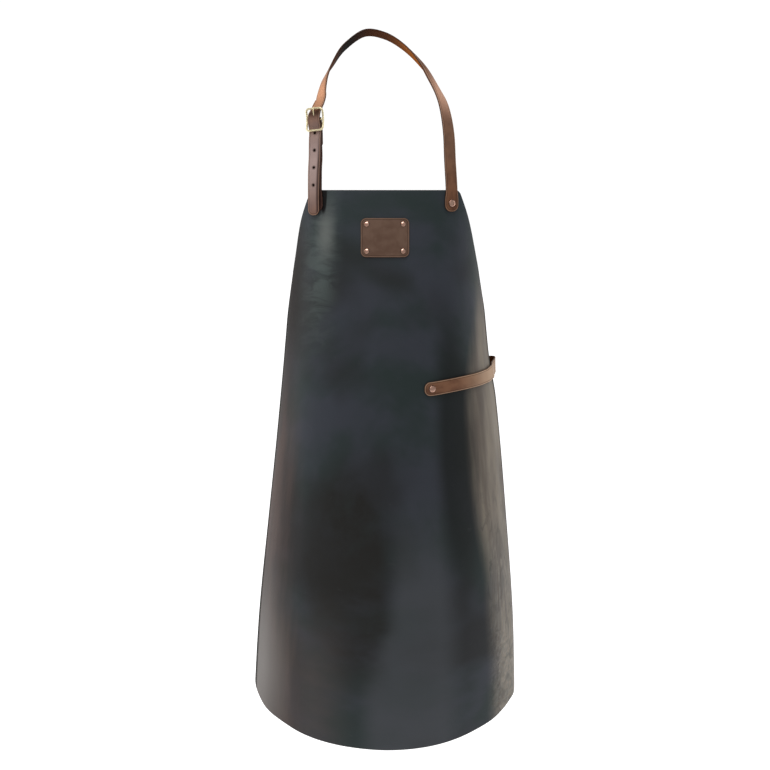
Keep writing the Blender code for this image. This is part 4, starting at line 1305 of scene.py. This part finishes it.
def rivet_places(line, towel_spots):
    """What make_rivet takes for each rivet, its material apart, with its node's name first."""
    under = -LEATHER / 2
    over = LEATHER / 2 + GAP
    cap = (CAP_RADIUS, CAP_HEIGHT)
    rivets = []
    for number, (x_side, z_side) in enumerate([(-1, 1), (1, 1), (-1, -1), (1, -1)], start=1):
        drop = PATCH_DROP - z_side * (PATCH_HEIGHT / 2 - PATCH_RIVET_INSET) / BODY_LENGTH
        x = x_side * (PATCH_WIDTH / 2 - PATCH_RIVET_INSET)
        point, normal, _, _ = hide_spot(angle_at(x, drop), drop)
        small_cap = (PATCH_CAP_RADIUS, PATCH_CAP_HEIGHT)
        name = f"patch_rivet_{number}"
        rivets.append((name, point, normal, over + PATCH_THICKNESS, under, small_cap, SMALL_POST_RADIUS))
    for name, (point, normal) in zip(("front", "rear"), towel_spots):
        name = f"towel_rivet_{name}"
        rivets.append((name, point, normal, over + STRAP_THICKNESS, under, cap, POST_RADIUS))
    for name, side, thickness in (("right", 1, STRAP_THICKNESS), ("left", -1, BUCKLE_STRAP_THICKNESS)):
        point, normal, _, _ = tab_spot(side, TAB_RIVET_REACH, lift=0.0)
        rivets.append((f"neck_rivet_{name}", point, normal, over + thickness, under, cap, POST_RADIUS))
    fold = line.point(BUCKLE_HEIGHT - FOLD_RIVET_DOWN, (FRONT_LAYER + BACK_LAYER) / 2)
    reach = (FRONT_LAYER - BACK_LAYER) / 2 + BUCKLE_STRAP_THICKNESS / 2
    fold_cap = (FOLD_CAP_RADIUS, FOLD_CAP_HEIGHT)
    rivets.append(("buckle_fold_rivet", fold, line.ahead, reach, -reach, fold_cap, SMALL_POST_RADIUS))
    return rivets


def main():
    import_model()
    cad_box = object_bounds()
    make_camera()
    line = LeftLine()
    body = make_hide(hide_leather())
    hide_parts("apron_body")

    route = neck_strap_route(line)
    first = route.distance_to(line.point(BUCKLE_HEIGHT + TONGUE_HEIGHT, OVER_CENTRE))
    holes = [first + number * HOLE_PITCH for number in range(1, FREE_HOLES + 1)]
    neck = make_neck_strap(line, route, holes, neck_leather(first, holes))
    # The towel strap is painted lighter over a stretch toward its right end, as painted light, with a painted
    # edge highlight
    towel, towel_spots = make_towel_strap(strap_leather(
        "towel_leather", (112, 76, 58), (138, 98, 74), (206, 172, 144),
        lengths=((0.150, 0.10, (198, 164, 134), 0.9),),
    ))
    # A darker copy of the strap leather for the buckle strap: painted shade
    shaded_under_leather = strap_leather("shaded_under_leather", (66, 44, 40), (84, 58, 50), (104, 76, 66))
    buckle_strap = make_buckle_strap(line, shaded_under_leather)
    patch = make_patch(strap_leather("patch_look", (108, 82, 68), (122, 96, 81), (150, 118, 98)))
    for piece, node, slot in (
        (neck, "neck_strap", "strap_leather"), (towel, "towel_strap", "strap_leather"),
        (buckle_strap, "buckle_strap", "strap_leather"), (patch, "patch", "patch_leather"),
    ):
        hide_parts(node)

    brass = metal("polished_brass", (255, 242, 200), (246, 222, 162), 0.34, 0.55)
    frame_wire, bar, tongue = make_buckle(line, brass)
    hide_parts("buckle_frame")
    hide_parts("buckle_tongue")
    metals = [frame_wire, bar, tongue]

    copper = metal("polished_copper", (255, 208, 186), (222, 160, 132), 0.08, 1.0)
    for node, *sizes in rivet_places(line, towel_spots):
        rivet = make_rivet(node + "_copper", *sizes, copper)
        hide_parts(node)
        metals.append(rivet)

    for piece in (body, neck, towel, buckle_strap, patch, *metals):
        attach(piece, "root")
    make_studio()
    low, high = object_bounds()
    sizes = {"cad": [list(corner) for corner in cad_box], "visual": [list(low), list(high)]}


main()
